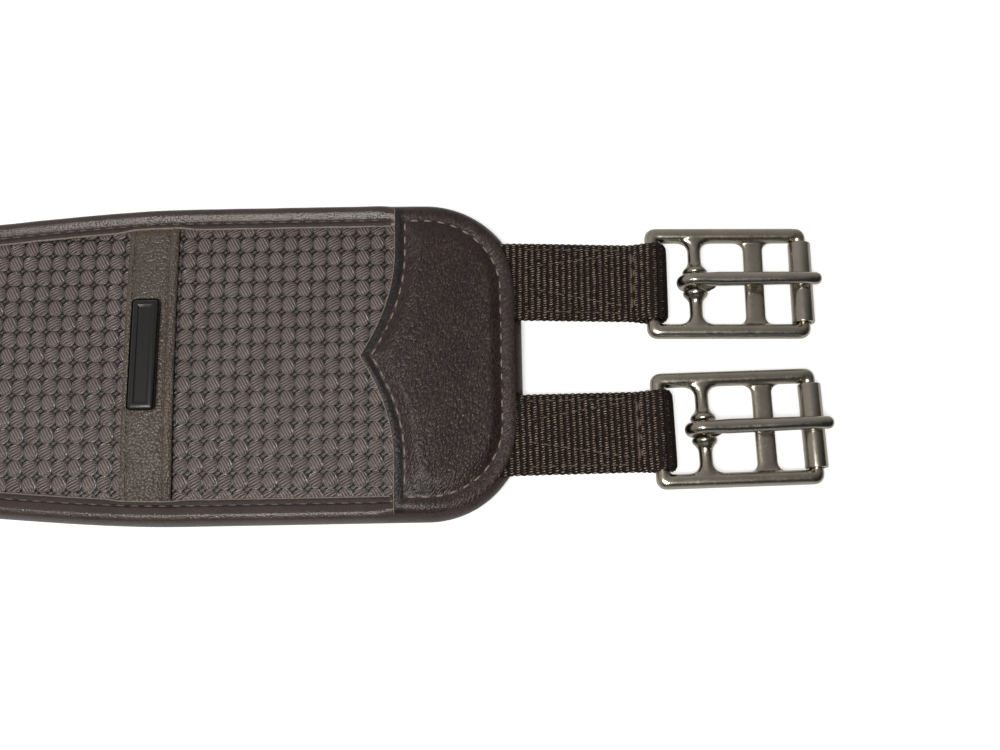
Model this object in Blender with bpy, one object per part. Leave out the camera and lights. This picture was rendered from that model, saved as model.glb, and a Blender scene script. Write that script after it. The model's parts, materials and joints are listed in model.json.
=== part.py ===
"""Saddle girth: a padded panel on two continuous webbing straps, with a roller buckle at each strap end.

Lengths are in metres. The panel lies face up, its lining on z = 0, its length along X and its width along Y.
"""

import math

import bmesh
import bpy
from mathutils import Matrix, Vector

# Clearance between pieces that are sewn together or seated on each other
GAP = 0.0003

# Panel outline, seen from above
PANEL_LENGTH = 0.422
END_WIDTH = 0.101
WAIST_WIDTH = 0.088
FLARE_LENGTH = 0.108
CORNER_RADIUS = 0.0294

# Panel layers: lining turned up round the edge, foam core, woven face sheet
LINING_THICKNESS = 0.0012
FOAM_THICKNESS = 0.0050
FACE_THICKNESS = 0.0022
FACE_CROWN = 0.0014
EDGE_TURN = 0.0078
FACE_UNDER_TAB = 0.0030
RIM_TURN = 0.0026
RIM_LAP = 0.0004
RIM_STEP = 0.0010
FOAM_INSET = 0.0030
FOAM_EDGE_RISE = 0.0010
FOAM_EDGE_SLOPE = 0.0026
FOAM_MIDDLE = 0.7

# How far short of the straps' way out the turned edge has come down to the low rim that they pass over
RIM_CLEAR = 0.003

# Leather end tabs with a cusped inner edge
TAB_THICKNESS = 0.0014
TAB_SIDE_LENGTH = 0.0394
TAB_CUSP_LENGTH = 0.0500
TAB_CUSP_SPREAD = 0.033
TAB_MARGIN = 0.0022

# Cross band and the plain plate on it
BAND_WIDTH = 0.0156
BAND_THICKNESS = 0.0013
BAND_FROM_END = 0.1146
PLATE_WIDTH = 0.0084
PLATE_LENGTH = 0.0350
PLATE_THICKNESS = 0.0016
PLATE_CORNER = 0.0014
PLATE_BEVEL = 0.0004
PLATE_OFFSET = 0.0012
PLATE_ACROSS = 0.0015

# Webbing straps: each runs the whole length and is folded back round a buckle bar at both ends
STRAP_WIDTH = 0.025
STRAP_THICKNESS = 0.0017
STRAP_SPACING = 0.049
STRAP_COVER = 0.0005
STRAP_REACH = 0.042
STRAP_TOE_IN = math.radians(1.0)
LOOP_THROAT = 0.0072
CHANNEL_PLAY = 0.0004
TAIL_CLEAR = 0.0035

# Cast three-bar buckle frame
STRAP_BAR_DIAMETER = 0.0046
BUCKLE_SIDE_PLAY = 0.001
RAIL_WIDTH = 0.0046
RAIL_HEIGHT = 0.0050
RAIL_INNER_CORNER = 0.0002
TONGUE_BAR_FROM_LOOP = 0.0134
TONGUE_BAR_DIAMETER = 0.0044
COLLAR_DIAMETER = 0.0080
COLLAR_WIDTH = 0.0027
KEEPER_FROM_LOOP = 0.0322
KEEPER_WIDTH = 0.0062
KEEPER_THICKNESS = 0.0026
KEEPER_DROP = 0.0006
KEEPER_ROUND = 0.0007
ROLLER_BAR_FROM_LOOP = 0.0470
BAR_FLARE = 0.0026
BAR_FLARE_LENGTH = 0.0036

# Roller and tongue
ROLLER_DIAMETER = 0.0070
ROLLER_WALL = 0.0012
ROLLER_END_PLAY = 0.0004
ROLLER_LIP = 0.0003
TONGUE_DIAMETER = 0.0042
TONGUE_TIP_DIAMETER = 0.0035
TONGUE_TAIL_DIAMETER = 0.0017
TONGUE_REACH = 0.0520
TONGUE_TAIL_LENGTH = 0.0068
TONGUE_TIP_DROP = 0.0007

# Where along a bar's end the spread into the rail is drawn, and how much of it the keeper bar takes
FLARE_SHARES = (0.5, 0.8, 1.0)
KEEPER_FLARE_SHARE = 0.6
BAR_RAIL_SHARE = 0.92

# How square a bar's section is: 2 is round, more is a rounded rectangle
ROUND_POWER = 2.0
RAIL_POWER = 3.0

# Counts of facets, and the angle above which an edge is drawn sharp
ROUND_SIDES = 16
RAIL_SIDES = 12
BEND_STEPS = 5
CORNER_STEPS = 8
EDGE_STEPS = 10
ROLL_STEPS = 6
TAB_STEPS_ACROSS = 24
TAB_STEPS_ALONG = 11
PLATE_CORNER_STEPS = 4
LOOP_STEPS = 14
HOOK_STEPS = 9
SHARP_ANGLE = math.radians(35)

# Heights that follow from the layers
FOAM_BOTTOM = LINING_THICKNESS + GAP
FOAM_TOP = FOAM_BOTTOM + FOAM_THICKNESS
FACE_BOTTOM = FOAM_TOP + GAP
FACE_TOP = FACE_BOTTOM + FACE_THICKNESS
EDGE_HEIGHT = FACE_TOP + GAP + LINING_THICKNESS
FACE_TUCK = EDGE_TURN - EDGE_HEIGHT / 2 - GAP
STRAP_BOTTOM = FOAM_TOP - STRAP_COVER - STRAP_THICKNESS
RIM_HEIGHT = STRAP_BOTTOM - GAP
STRAP_MIDDLE = STRAP_BOTTOM + STRAP_THICKNESS / 2
LAYER_PITCH = STRAP_THICKNESS + GAP
FOLD_TOP = STRAP_BOTTOM + STRAP_THICKNESS + LAYER_PITCH
TAB_SEAT = max(FACE_TOP + FACE_CROWN, EDGE_HEIGHT) + GAP
TAB_SEAT_AT_END = FOLD_TOP + GAP

# Plan positions that follow from the outline
PANEL_END = PANEL_LENGTH / 2
CORNER_X = PANEL_END - CORNER_RADIUS
CORNER_Y = END_WIDTH / 2 - CORNER_RADIUS
FACE_END = PANEL_END - TAB_SIDE_LENGTH + FACE_UNDER_TAB
RIM_FROM = FACE_END + GAP
STRAP_Y = STRAP_SPACING / 2
CHANNEL_INNER = STRAP_Y - STRAP_WIDTH / 2 - CHANNEL_PLAY
CHANNEL_OUTER = STRAP_Y + STRAP_WIDTH / 2 + CHANNEL_PLAY
STRAP_EXIT = CORNER_X + math.sqrt(CORNER_RADIUS**2 - max(0.0, CHANNEL_OUTER - CORNER_Y) ** 2)
STRAP_TAIL_END = FACE_END + TAIL_CLEAR
RIM_TO = STRAP_EXIT - RIM_CLEAR
RIM_SHOULDER = CHANNEL_INNER - RIM_STEP
RIM_MIDDLE_HEIGHT = TAB_SEAT_AT_END - GAP
RIM_MIDDLE_TURN = RIM_MIDDLE_HEIGHT / 2 + RIM_LAP
FOAM_END = PANEL_END - RIM_MIDDLE_TURN - 2 * GAP

# Buckle sizes that follow from the webbing and the bars
LOOP_RADIUS = STRAP_BAR_DIAMETER / 2 + GAP + STRAP_THICKNESS / 2
BUCKLE_Z = max(
    LOOP_RADIUS + STRAP_THICKNESS / 2,
    TONGUE_BAR_DIAMETER / 2 + GAP + TONGUE_TAIL_DIAMETER,
    ROLLER_DIAMETER / 2,
)
INNER_HALF = STRAP_WIDTH / 2 + BUCKLE_SIDE_PLAY
RAIL_Y = INNER_HALF + RAIL_WIDTH / 2
ROLLER_BORE = ROLLER_DIAMETER - 2 * ROLLER_WALL
ROLLER_BAR_DIAMETER = ROLLER_BORE - 2 * GAP
ROLLER_HALF = INNER_HALF - ROLLER_END_PLAY
COLLAR_Y = TONGUE_DIAMETER / 2 + GAP


def ease(value):
    """Smooth step from 0 to 1."""
    value = min(1.0, max(0.0, value))
    return value * value * (3 - 2 * value)


def mix(first, second, share):
    return first + (second - first) * share


def side_half_width(x):
    """Half the panel's width at x, before its end corners are rounded."""
    return mix(WAIST_WIDTH, END_WIDTH, ease(abs(x) / FLARE_LENGTH)) / 2


def half_width(x, inset):
    """Half the width at x of the panel's outline moved in by an inset."""
    past_corner = abs(x) - CORNER_X
    if past_corner <= 0:
        return side_half_width(x) - inset
    radius = CORNER_RADIUS - inset
    return CORNER_Y + math.sqrt(max(0.0, radius * radius - past_corner * past_corner))


def inset_at(x, y):
    """Distance of a point of the panel from the panel's outline."""
    past_x = abs(x) - CORNER_X
    past_y = abs(y) - CORNER_Y
    if past_x > 0 and past_y > 0:
        return CORNER_RADIUS - math.hypot(past_x, past_y)
    return min(side_half_width(x) - abs(y), PANEL_END - abs(x))


def rim_share(x):
    """0 along the panel's sides, 1 at its ends, where the turned edge is a low rim."""
    return ease((abs(x) - RIM_FROM) / (RIM_TO - RIM_FROM))


def between_straps(y):
    """1 between the two straps, 0 under and outside them."""
    return 1 - ease((abs(y) - RIM_SHOULDER) / RIM_STEP)


def edge_height(x, y):
    """Height of the turned edge: full at the sides, low under the straps, up to the tab between them."""
    rim = mix(RIM_HEIGHT, RIM_MIDDLE_HEIGHT, between_straps(y))
    return mix(EDGE_HEIGHT, rim, rim_share(x))


def flap_reach(x, y):
    """How far the turned edge's flap reaches in from the outline."""
    rim = mix(RIM_TURN, RIM_MIDDLE_TURN, between_straps(y))
    return mix(EDGE_TURN, rim, rim_share(x))


def face_top(x, y):
    """Height of the crowned face sheet."""
    across = min(1.0, abs(y) / (side_half_width(x) - EDGE_TURN))
    return FACE_TOP + FACE_CROWN * (1 - across * across)


def tab_bottom(x, y):
    """Height of an end tab's underside, drooping over the rolled edge and sloping down to the straps."""
    share = rim_share(x)
    radius = EDGE_HEIGHT / 2
    inside = radius - min(radius, inset_at(x, y))
    droop = radius - math.sqrt(radius * radius - inside * inside)
    return mix(TAB_SEAT, TAB_SEAT_AT_END, share) - droop * (1 - share)


def finish(name, bm, parent, material):
    """Turns a bmesh into a named object with outward faces."""
    bmesh.ops.recalc_face_normals(bm, faces=bm.faces)
    mesh = bpy.data.meshes.new(name)
    bm.to_mesh(mesh)
    bm.free()
    mesh.shade_smooth()
    mesh.set_sharp_from_angle(angle=SHARP_ANGLE)
    mesh.materials.append(material)
    obj = bpy.data.objects.new(name, mesh)
    obj.parent = parent
    bpy.context.collection.objects.link(obj)
    return obj


def add_loft(bm, rings, loop=False):
    """Skins rings of points, closing the last to the first in a loop or else capping both ends."""
    loops = [[bm.verts.new(point) for point in ring] for ring in rings]
    count = len(loops[0])
    pairs = list(zip(loops, loops[1:]))
    if loop:
        pairs.append((loops[-1], loops[0]))
    else:
        bm.faces.new(loops[0])
        bm.faces.new(loops[-1])
    for near, far in pairs:
        for i in range(count):
            k = (i + 1) % count
            bm.faces.new((near[i], near[k], far[k], far[i]))


def lofted(name, rings, parent, material, loop=False):
    bm = bmesh.new()
    add_loft(bm, rings, loop)
    return finish(name, bm, parent, material)


def sheet(name, rows, top, bottom, parent, material):
    """A solid over rows of plan points (x, y), between two heights given as functions of x and y."""
    rings = []
    for row in rows:
        upper = [Vector((x, y, top(x, y))) for x, y in row]
        lower = [Vector((x, y, bottom(x, y))) for x, y in reversed(row)]
        rings.append(upper + lower)
    bm = bmesh.new()
    loops = [[bm.verts.new(point) for point in ring] for ring in rings]
    count = len(loops[0])
    half = count // 2
    for near, far in zip(loops, loops[1:]):
        for i in range(count):
            k = (i + 1) % count
            bm.faces.new((near[i], near[k], far[k], far[i]))
    for end in (loops[0], loops[-1]):
        for i in range(half - 1):
            bm.faces.new((end[i], end[i + 1], end[count - 2 - i], end[count - 1 - i]))
    bmesh.ops.triangulate(bm, faces=bm.faces)
    return finish(name, bm, parent, material)


def spread(first, last, steps):
    return [mix(first, last, i / steps) for i in range(steps + 1)]


def material_of(name, colour, roughness, metallic=0.0):
    material = bpy.data.materials.new(name)
    material.use_nodes = True
    shader = material.node_tree.nodes["Principled BSDF"]
    shader.inputs["Base Color"].default_value = (*colour, 1.0)
    shader.inputs["Roughness"].default_value = roughness
    shader.inputs["Metallic"].default_value = metallic
    return material


def corner(start, cy):
    """Points round one rounded corner at the +X end, each with its inward direction."""
    points = []
    for share in spread(0.0, 1.0, CORNER_STEPS)[1:]:
        angle = math.radians(start + 90 * share)
        out = Vector((math.cos(angle), math.sin(angle), 0))
        points.append((Vector((CORNER_X, cy, 0)) + CORNER_RADIUS * out, -out))
    return points


def outline():
    """Points round the panel's outline, each with its inward direction."""
    half = []
    side_end = min(RIM_FROM, CORNER_X)
    for x in sorted({-CORNER_X, *spread(-side_end, side_end, 2 * EDGE_STEPS), CORNER_X}):
        half.append((Vector((x, -side_half_width(x), 0)), Vector((0, 1, 0))))
    half += corner(-90, -CORNER_Y)
    shoulder = (-RIM_SHOULDER - RIM_STEP, -RIM_SHOULDER, RIM_SHOULDER, RIM_SHOULDER + RIM_STEP)
    for y in (*shoulder, CORNER_Y):
        half.append((Vector((PANEL_END, y, 0)), Vector((-1, 0, 0))))
    half += corner(0, CORNER_Y)[:-1]
    turn = Matrix.Rotation(math.pi, 3, "Z")
    return half + [(turn @ point, turn @ inward) for point, inward in half]


def build_lining(parent, material):
    """One sheet: the flat underside, turned up round the edge and sewn down as a flap on the face."""
    border = outline()

    def ring(reach_and_height):
        points = []
        for point, inward in border:
            reach, height = reach_and_height(point.x, point.y)
            points.append(point + inward * reach + Vector((0, 0, height)))
        return points

    def roll(angle, wall):
        def at(x, y):
            radius = edge_height(x, y) / 2
            turn = max(radius - wall, GAP)
            return radius - turn * math.cos(angle), radius + turn * math.sin(angle)

        return at

    def flap(wall):
        def at(x, y):
            return flap_reach(x, y), edge_height(x, y) - wall

        return at

    angles = spread(-math.pi / 2, math.pi / 2, ROLL_STEPS)
    rings = [ring(roll(angle, 0.0)) for angle in angles]
    rings += [ring(flap(0.0)), ring(flap(LINING_THICKNESS))]
    rings += [ring(roll(angle, LINING_THICKNESS)) for angle in reversed(angles)]
    return lofted("lining_cover", rings, parent, material)


def build_foam(parent, material):
    """Foam core with a channel for each strap, its ends built up to the end tabs."""
    step_x = FACE_END + GAP
    level = spread(-step_x, step_x, 2 * EDGE_STEPS)
    outer = spread(step_x + GAP, FOAM_END, 6)
    stations = [-x for x in reversed(outer)] + level + outer
    past_flap = EDGE_TURN + 2 * GAP - FOAM_INSET
    rows = []
    for x in stations:
        reach = half_width(x, FOAM_INSET)
        edge = [reach - past_flap, reach - FOAM_EDGE_SLOPE, reach]
        inner = spread(-FOAM_MIDDLE * reach, FOAM_MIDDLE * reach, 6)
        across = [-y for y in reversed(edge)] + inner + edge
        rows.append([(x, y) for y in across])

    def top(x, y):
        if abs(x) <= step_x:
            return face_top(x, y) - FACE_THICKNESS - GAP
        under_tab = tab_bottom(x, y) - GAP
        beyond_flap = flap_reach(x, y) + (FOAM_EDGE_SLOPE if abs(y) > CORNER_Y else GAP)
        if inset_at(x, y) > beyond_flap:
            return under_tab
        return min(under_tab, edge_height(abs(x) + EDGE_TURN, y) - LINING_THICKNESS - GAP)

    def bottom(x, y):
        near_edge = 1 - min(1.0, (inset_at(x, y) - FOAM_INSET) / FOAM_EDGE_SLOPE)
        return FOAM_BOTTOM + FOAM_EDGE_RISE * max(0.0, near_edge) * (1 - rim_share(x))

    foam = sheet("foam_core", rows, top, bottom, parent, material)
    walls = (CHANNEL_INNER, CHANNEL_OUTER)
    plan = [(-PANEL_END, y) for y in walls] + [(PANEL_END, y) for y in reversed(walls)]
    for side in (-1, 1):
        rings = []
        for z in (STRAP_BOTTOM - GAP, TAB_SEAT):
            rings.append([Vector((x, side * y, z)) for x, y in plan])
        combine(foam, lofted("channel_cutter", rings, parent, material), "DIFFERENCE")
    return foam


def combine(obj, tool, operation):
    """Joins or cuts an object with another one, which is then kept as a hidden outline."""
    tool.hide_render = True
    tool.display_type = "WIRE"
    boolean = obj.modifiers.new(tool.name, "BOOLEAN")
    boolean.operation = operation
    boolean.solver = "EXACT"
    boolean.object = tool


def build_face(parent, material):
    rows = []
    for x in spread(-FACE_END, FACE_END, 2 * EDGE_STEPS):
        reach = side_half_width(x) - EDGE_TURN + FACE_TUCK
        tucked = side_half_width(x) - EDGE_TURN
        across = [-reach] + spread(-tucked, tucked, 8) + [reach]
        rows.append([(x, y) for y in across])
    return sheet(
        "face_panel",
        rows,
        face_top,
        lambda x, y: face_top(x, y) - FACE_THICKNESS,
        parent,
        material,
    )


def build_tab(name, side, parent, material):
    """Leather tab over a panel end: a cusp on its inner edge, the panel's own outline elsewhere."""
    tab_end = PANEL_END - TAB_MARGIN
    rows = []
    for turn in spread(-math.pi / 2, math.pi / 2, TAB_STEPS_ACROSS):
        across = math.sin(turn)
        edge_y = abs(across) * half_width(PANEL_END - TAB_SIDE_LENGTH, TAB_MARGIN)
        cusp = max(0.0, 1 - edge_y / TAB_CUSP_SPREAD) ** 2
        inner = PANEL_END - mix(TAB_SIDE_LENGTH, TAB_CUSP_LENGTH, cusp)
        row = []
        for share in spread(0.0, 1.0, TAB_STEPS_ALONG):
            x = mix(inner, tab_end, math.sin(share * math.pi / 2))
            row.append((side * x, across * half_width(x, TAB_MARGIN)))
        rows.append(row)
    return sheet(
        name,
        rows,
        lambda x, y: tab_bottom(x, y) + TAB_THICKNESS,
        tab_bottom,
        parent,
        material,
    )


def build_band(parent, material):
    middle = PANEL_END - BAND_FROM_END
    rows = []
    for x in (middle - BAND_WIDTH / 2, middle, middle + BAND_WIDTH / 2):
        reach = side_half_width(x) - EDGE_TURN - GAP
        rows.append([(x, y) for y in spread(-reach, reach, 12)])
    return sheet(
        "cross_band",
        rows,
        lambda x, y: face_top(x, y) + GAP + BAND_THICKNESS,
        lambda x, y: face_top(x, y) + GAP,
        parent,
        material,
    )


def build_plate(parent, material):
    """Plain plate with rounded corners, lying along the band."""
    middle = Vector((PANEL_END - BAND_FROM_END - PLATE_OFFSET, PLATE_ACROSS, 0))
    base = FACE_TOP + FACE_CROWN + GAP + BAND_THICKNESS + GAP

    def ring(inset, height):
        points = []
        radius = PLATE_CORNER - inset
        for quarter in range(4):
            sx = 1 if quarter in (0, 3) else -1
            sy = 1 if quarter in (0, 1) else -1
            cx = sx * (PLATE_WIDTH / 2 - PLATE_CORNER)
            cy = sy * (PLATE_LENGTH / 2 - PLATE_CORNER)
            for share in spread(0.0, 1.0, PLATE_CORNER_STEPS):
                angle = math.radians(90 * (quarter + share))
                turn = Vector((radius * math.cos(angle), radius * math.sin(angle), 0))
                points.append(middle + Vector((cx, cy, base + height)) + turn)
        return points

    rings = [ring(0.0, 0.0), ring(0.0, PLATE_THICKNESS - PLATE_BEVEL), ring(PLATE_BEVEL, PLATE_THICKNESS)]
    return lofted("band_plate", rings, parent, material)


def strap_path():
    """Middle line (x, z) of the webbing from mid-panel round the buckle bar and back to the sewn tail."""
    centre_x = PANEL_END + STRAP_REACH
    part = LAYER_PITCH / 2
    away = math.hypot(LOOP_THROAT, part)
    leave = math.pi - math.atan2(part, LOOP_THROAT) - math.acos(LOOP_RADIUS / away)
    out = [(x, STRAP_MIDDLE) for x in spread(0.0, PANEL_END, 4)]
    out.append((centre_x - LOOP_THROAT, BUCKLE_Z - part))
    for angle in spread(-leave, leave, LOOP_STEPS):
        out.append((centre_x + LOOP_RADIUS * math.cos(angle), BUCKLE_Z + LOOP_RADIUS * math.sin(angle)))
    out.append((centre_x - LOOP_THROAT, BUCKLE_Z + part))
    out.append((PANEL_END, STRAP_MIDDLE + LAYER_PITCH))
    out.append((STRAP_TAIL_END, STRAP_MIDDLE + LAYER_PITCH))
    return out


def build_strap(name, side, parent, material):
    """One strip of webbing, swept along its path with its outer ends turned in by the toe-in."""
    half = strap_path()
    path = [(-x, z) for x, z in reversed(half[1:])] + half
    rings = []
    for i, (x, z) in enumerate(path):
        before = Vector(path[max(i - 1, 0)])
        after = Vector(path[min(i + 1, len(path) - 1)])
        here = Vector((x, z))
        ways = [way.normalized() for way in (here - before, after - here) if way.length > 0]
        along = sum(ways, Vector((0, 0))).normalized()
        stretch = 1 / max(0.5, along.dot(ways[0]))
        normal = Vector((-along.y, along.x)) * stretch * STRAP_THICKNESS / 2
        edge = STRAP_WIDTH / 2
        flat = edge - STRAP_THICKNESS / 2
        section = ((-flat, -1), (flat, -1), (edge, 0), (flat, 1), (-flat, 1), (-edge, 0))
        ring = []
        for across, share in section:
            point = Vector((x + normal.x * share, across, z + normal.y * share))
            ring.append(toe_in(point, side) if abs(x) > PANEL_END else point + Vector((0, side * STRAP_Y, 0)))
        rings.append(ring)
    return lofted(name, rings, parent, material)


def toe_in(point, side):
    """Moves a point of a straight strap to where its turned-in outer end lies."""
    end = math.copysign(1, point.x)
    pivot = Vector((end * PANEL_END, 0, 0))
    turn = Matrix.Rotation(-end * side * STRAP_TOE_IN, 3, "Z")
    return turn @ (point - pivot) + pivot + Vector((0, side * STRAP_Y, 0))


def oval(centre, along, up, half_a, half_b, sides, power=ROUND_POWER):
    """Ring of points on an oval or, with a higher power, on a rounded rectangle."""
    points = []
    for i in range(sides):
        angle = 2 * math.pi * i / sides
        c, s = math.cos(angle), math.sin(angle)
        a = math.copysign(abs(c) ** (2 / power), c) * half_a
        b = math.copysign(abs(s) ** (2 / power), s) * half_b
        points.append(centre + along * a + up * b)
    return points


def add_ring_bar(bm):
    """The frame's outer bar: strap bar, rail, roller bar and rail, bent as one closed ring."""
    up = Vector((0, 0, 1))
    bend = RAIL_WIDTH / 2 + RAIL_INNER_CORNER
    corners = (
        (0.0, -RAIL_Y, 180, STRAP_BAR_DIAMETER, True),
        (ROLLER_BAR_FROM_LOOP, -RAIL_Y, 270, ROLLER_BAR_DIAMETER, False),
        (ROLLER_BAR_FROM_LOOP, RAIL_Y, 0, ROLLER_BAR_DIAMETER, True),
        (0.0, RAIL_Y, 90, STRAP_BAR_DIAMETER, False),
    )
    rings = []
    for x, y, start, bar, into_rail in corners:
        sx = 1 if x > 0 else -1
        sy = 1 if y > 0 else -1
        centre = Vector((x - sx * bend, y - sy * bend, 0))
        for share in spread(0.0, 1.0, BEND_STEPS):
            angle = math.radians(start + 90 * share)
            out = Vector((math.cos(angle), math.sin(angle), 0))
            rail = ease(share if into_rail else 1 - share)
            width = mix(bar, RAIL_WIDTH, rail)
            height = mix(bar, RAIL_HEIGHT, rail)
            power = mix(ROUND_POWER, RAIL_POWER, rail)
            rings.append(oval(centre + bend * out, out, up, width / 2, height / 2, RAIL_SIDES, power))
    add_loft(bm, rings, loop=True)


def add_tongue_bar(bm):
    """Round bar with a journal between two collars, spreading where it runs into the rails."""
    journal = TONGUE_BAR_DIAMETER / 2
    collar = COLLAR_DIAMETER / 2
    profile = [
        (COLLAR_Y, journal),
        (COLLAR_Y, mix(journal, collar, 0.8)),
        (COLLAR_Y + 0.3 * COLLAR_WIDTH, collar),
        (COLLAR_Y + 0.6 * COLLAR_WIDTH, mix(journal, collar, 0.85)),
        (COLLAR_Y + COLLAR_WIDTH, journal),
    ]
    stations = [(y, radius, radius) for y, radius in profile]
    for share in (0.0, *FLARE_SHARES):
        spreading = journal + BAR_FLARE * share * share
        y = INNER_HALF - BAR_FLARE_LENGTH * (1 - share)
        stations.append((y, spreading, mix(journal, BAR_RAIL_SHARE * RAIL_HEIGHT / 2, share)))
    stations.append((RAIL_Y, stations[-1][1], stations[-1][2]))
    stations = [(-y, a, b) for y, a, b in reversed(stations)] + stations
    rings = []
    for y, a, b in stations:
        centre = Vector((TONGUE_BAR_FROM_LOOP, y, 0))
        rings.append(oval(centre, Vector((1, 0, 0)), Vector((0, 0, 1)), a, b, ROUND_SIDES))
    add_loft(bm, rings)


def add_keeper_bar(bm):
    """Flat bar with eased edges, set below the top of the rails and spreading into them."""
    half = [(INNER_HALF - BAR_FLARE_LENGTH, KEEPER_WIDTH / 2)]
    for share in FLARE_SHARES:
        y = INNER_HALF - BAR_FLARE_LENGTH * (1 - share)
        half.append((y, KEEPER_WIDTH / 2 + KEEPER_FLARE_SHARE * BAR_FLARE * share * share))
    half.append((RAIL_Y, half[-1][1]))
    rings = []
    for y, width in [(-y, width) for y, width in reversed(half)] + half:
        ring = []
        for sx, sz in ((1, 1), (-1, 1), (-1, -1), (1, -1)):
            wide = Vector((sx * width, 0, sz * (KEEPER_THICKNESS / 2 - KEEPER_ROUND)))
            tall = Vector((sx * (width - KEEPER_ROUND), 0, sz * KEEPER_THICKNESS / 2))
            ring += [wide, tall] if sx == sz else [tall, wide]
        base = Vector((KEEPER_FROM_LOOP, y, -KEEPER_DROP))
        rings.append([base + point for point in ring])
    add_loft(bm, rings)


def build_frame(name, parent, material):
    """Casting: outer ring, tongue bar and keeper bar joined into one body."""
    bm = bmesh.new()
    add_ring_bar(bm)
    frame = finish(name, bm, parent, material)
    for part, add in (("tongue_bar", add_tongue_bar), ("keeper_bar", add_keeper_bar)):
        bm = bmesh.new()
        add(bm)
        combine(frame, finish(name + "_" + part, bm, parent, material), "UNION")
    return frame


def build_roller(name, parent, material):
    """Rolled tube turning on the end bar, with eased lips. Its origin is on the bar's axis."""
    outer = ROLLER_DIAMETER / 2
    profile = (
        (-ROLLER_HALF, outer - ROLLER_LIP),
        (-ROLLER_HALF + ROLLER_LIP, outer),
        (ROLLER_HALF - ROLLER_LIP, outer),
        (ROLLER_HALF, outer - ROLLER_LIP),
        (ROLLER_HALF, ROLLER_BORE / 2),
        (-ROLLER_HALF, ROLLER_BORE / 2),
    )
    rings = [
        oval(Vector((0, y, 0)), Vector((1, 0, 0)), Vector((0, 0, 1)), radius, radius, ROUND_SIDES)
        for y, radius in profile
    ]
    roller = lofted(name, rings, parent, material, loop=True)
    roller.location = (ROLLER_BAR_FROM_LOOP, 0, 0)
    return roller


def tongue_path():
    """Points (x, z) and wire radius from the tip to the end of the tail, about the tongue bar's axis."""
    tip = TONGUE_TIP_DIAMETER / 2
    body = TONGUE_DIAMETER / 2
    tail = TONGUE_TAIL_DIAMETER / 2
    journal = TONGUE_BAR_DIAMETER / 2 + GAP
    tip_x = TONGUE_REACH - TONGUE_BAR_FROM_LOOP
    roller_x = ROLLER_BAR_FROM_LOOP - TONGUE_BAR_FROM_LOOP
    rest_z = ROLLER_DIAMETER / 2 + GAP + tip
    eye_z = journal + body
    points = [
        (tip_x, rest_z - TONGUE_TIP_DROP, 0.35 * tip),
        (mix(tip_x, roller_x, 0.12), rest_z - 0.9 * TONGUE_TIP_DROP, 0.8 * tip),
        (mix(tip_x, roller_x, 0.35), rest_z - 0.5 * TONGUE_TIP_DROP, tip),
        (roller_x, rest_z, tip),
    ]
    for share in (0.25, 0.5, 0.75):
        points.append((roller_x * (1 - share), mix(rest_z, eye_z, ease(share)), mix(tip, body, share)))
    for share in spread(0.0, 1.0, HOOK_STEPS):
        angle = math.pi / 2 + math.pi * share
        wire = mix(body, tail, max(0.0, share - 0.25) / 0.75)
        reach = journal + wire
        points.append((reach * math.cos(angle), reach * math.sin(angle), wire))
    points.append((0.5 * TONGUE_TAIL_LENGTH, -journal - tail, tail))
    points.append((TONGUE_TAIL_LENGTH, -journal - 0.7 * tail, 0.6 * tail))
    return points


def build_tongue(name, parent, material):
    """Forged wire hooked round the journal, its origin on the journal's axis."""
    curve = bpy.data.curves.new(name, "CURVE")
    curve.dimensions = "3D"
    curve.bevel_depth = 1.0
    curve.bevel_resolution = 3
    curve.use_fill_caps = True
    points = tongue_path()
    spline = curve.splines.new("POLY")
    spline.points.add(len(points) - 1)
    for point, (x, z, radius) in zip(spline.points, points):
        point.co = (x, 0, z, 1)
        point.radius = radius
    curve.materials.append(material)
    tongue = bpy.data.objects.new(name, curve)
    tongue.parent = parent
    tongue.location = (TONGUE_BAR_FROM_LOOP, 0, 0)
    bpy.context.collection.objects.link(tongue)
    return tongue


def build_buckle(end_name, end, side_name, side, parent, steel, bright):
    """A buckle hung in a strap's loop, about an empty on the strap bar's axis."""
    pivot = bpy.data.objects.new(f"{end_name}_{side_name}_buckle_pivot", None)
    loop = toe_in(Vector((end * (PANEL_END + STRAP_REACH), 0, BUCKLE_Z)), side)
    pivot.location = loop
    pivot.rotation_euler = (0, 0, (0 if end > 0 else math.pi) - end * side * STRAP_TOE_IN)
    pivot.parent = parent
    bpy.context.collection.objects.link(pivot)
    label = f"{end_name}_{side_name}"
    build_frame(f"{label}_buckle_frame", pivot, steel)
    build_roller(f"{label}_roller", pivot, bright)
    build_tongue(f"{label}_tongue", pivot, bright)


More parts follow.
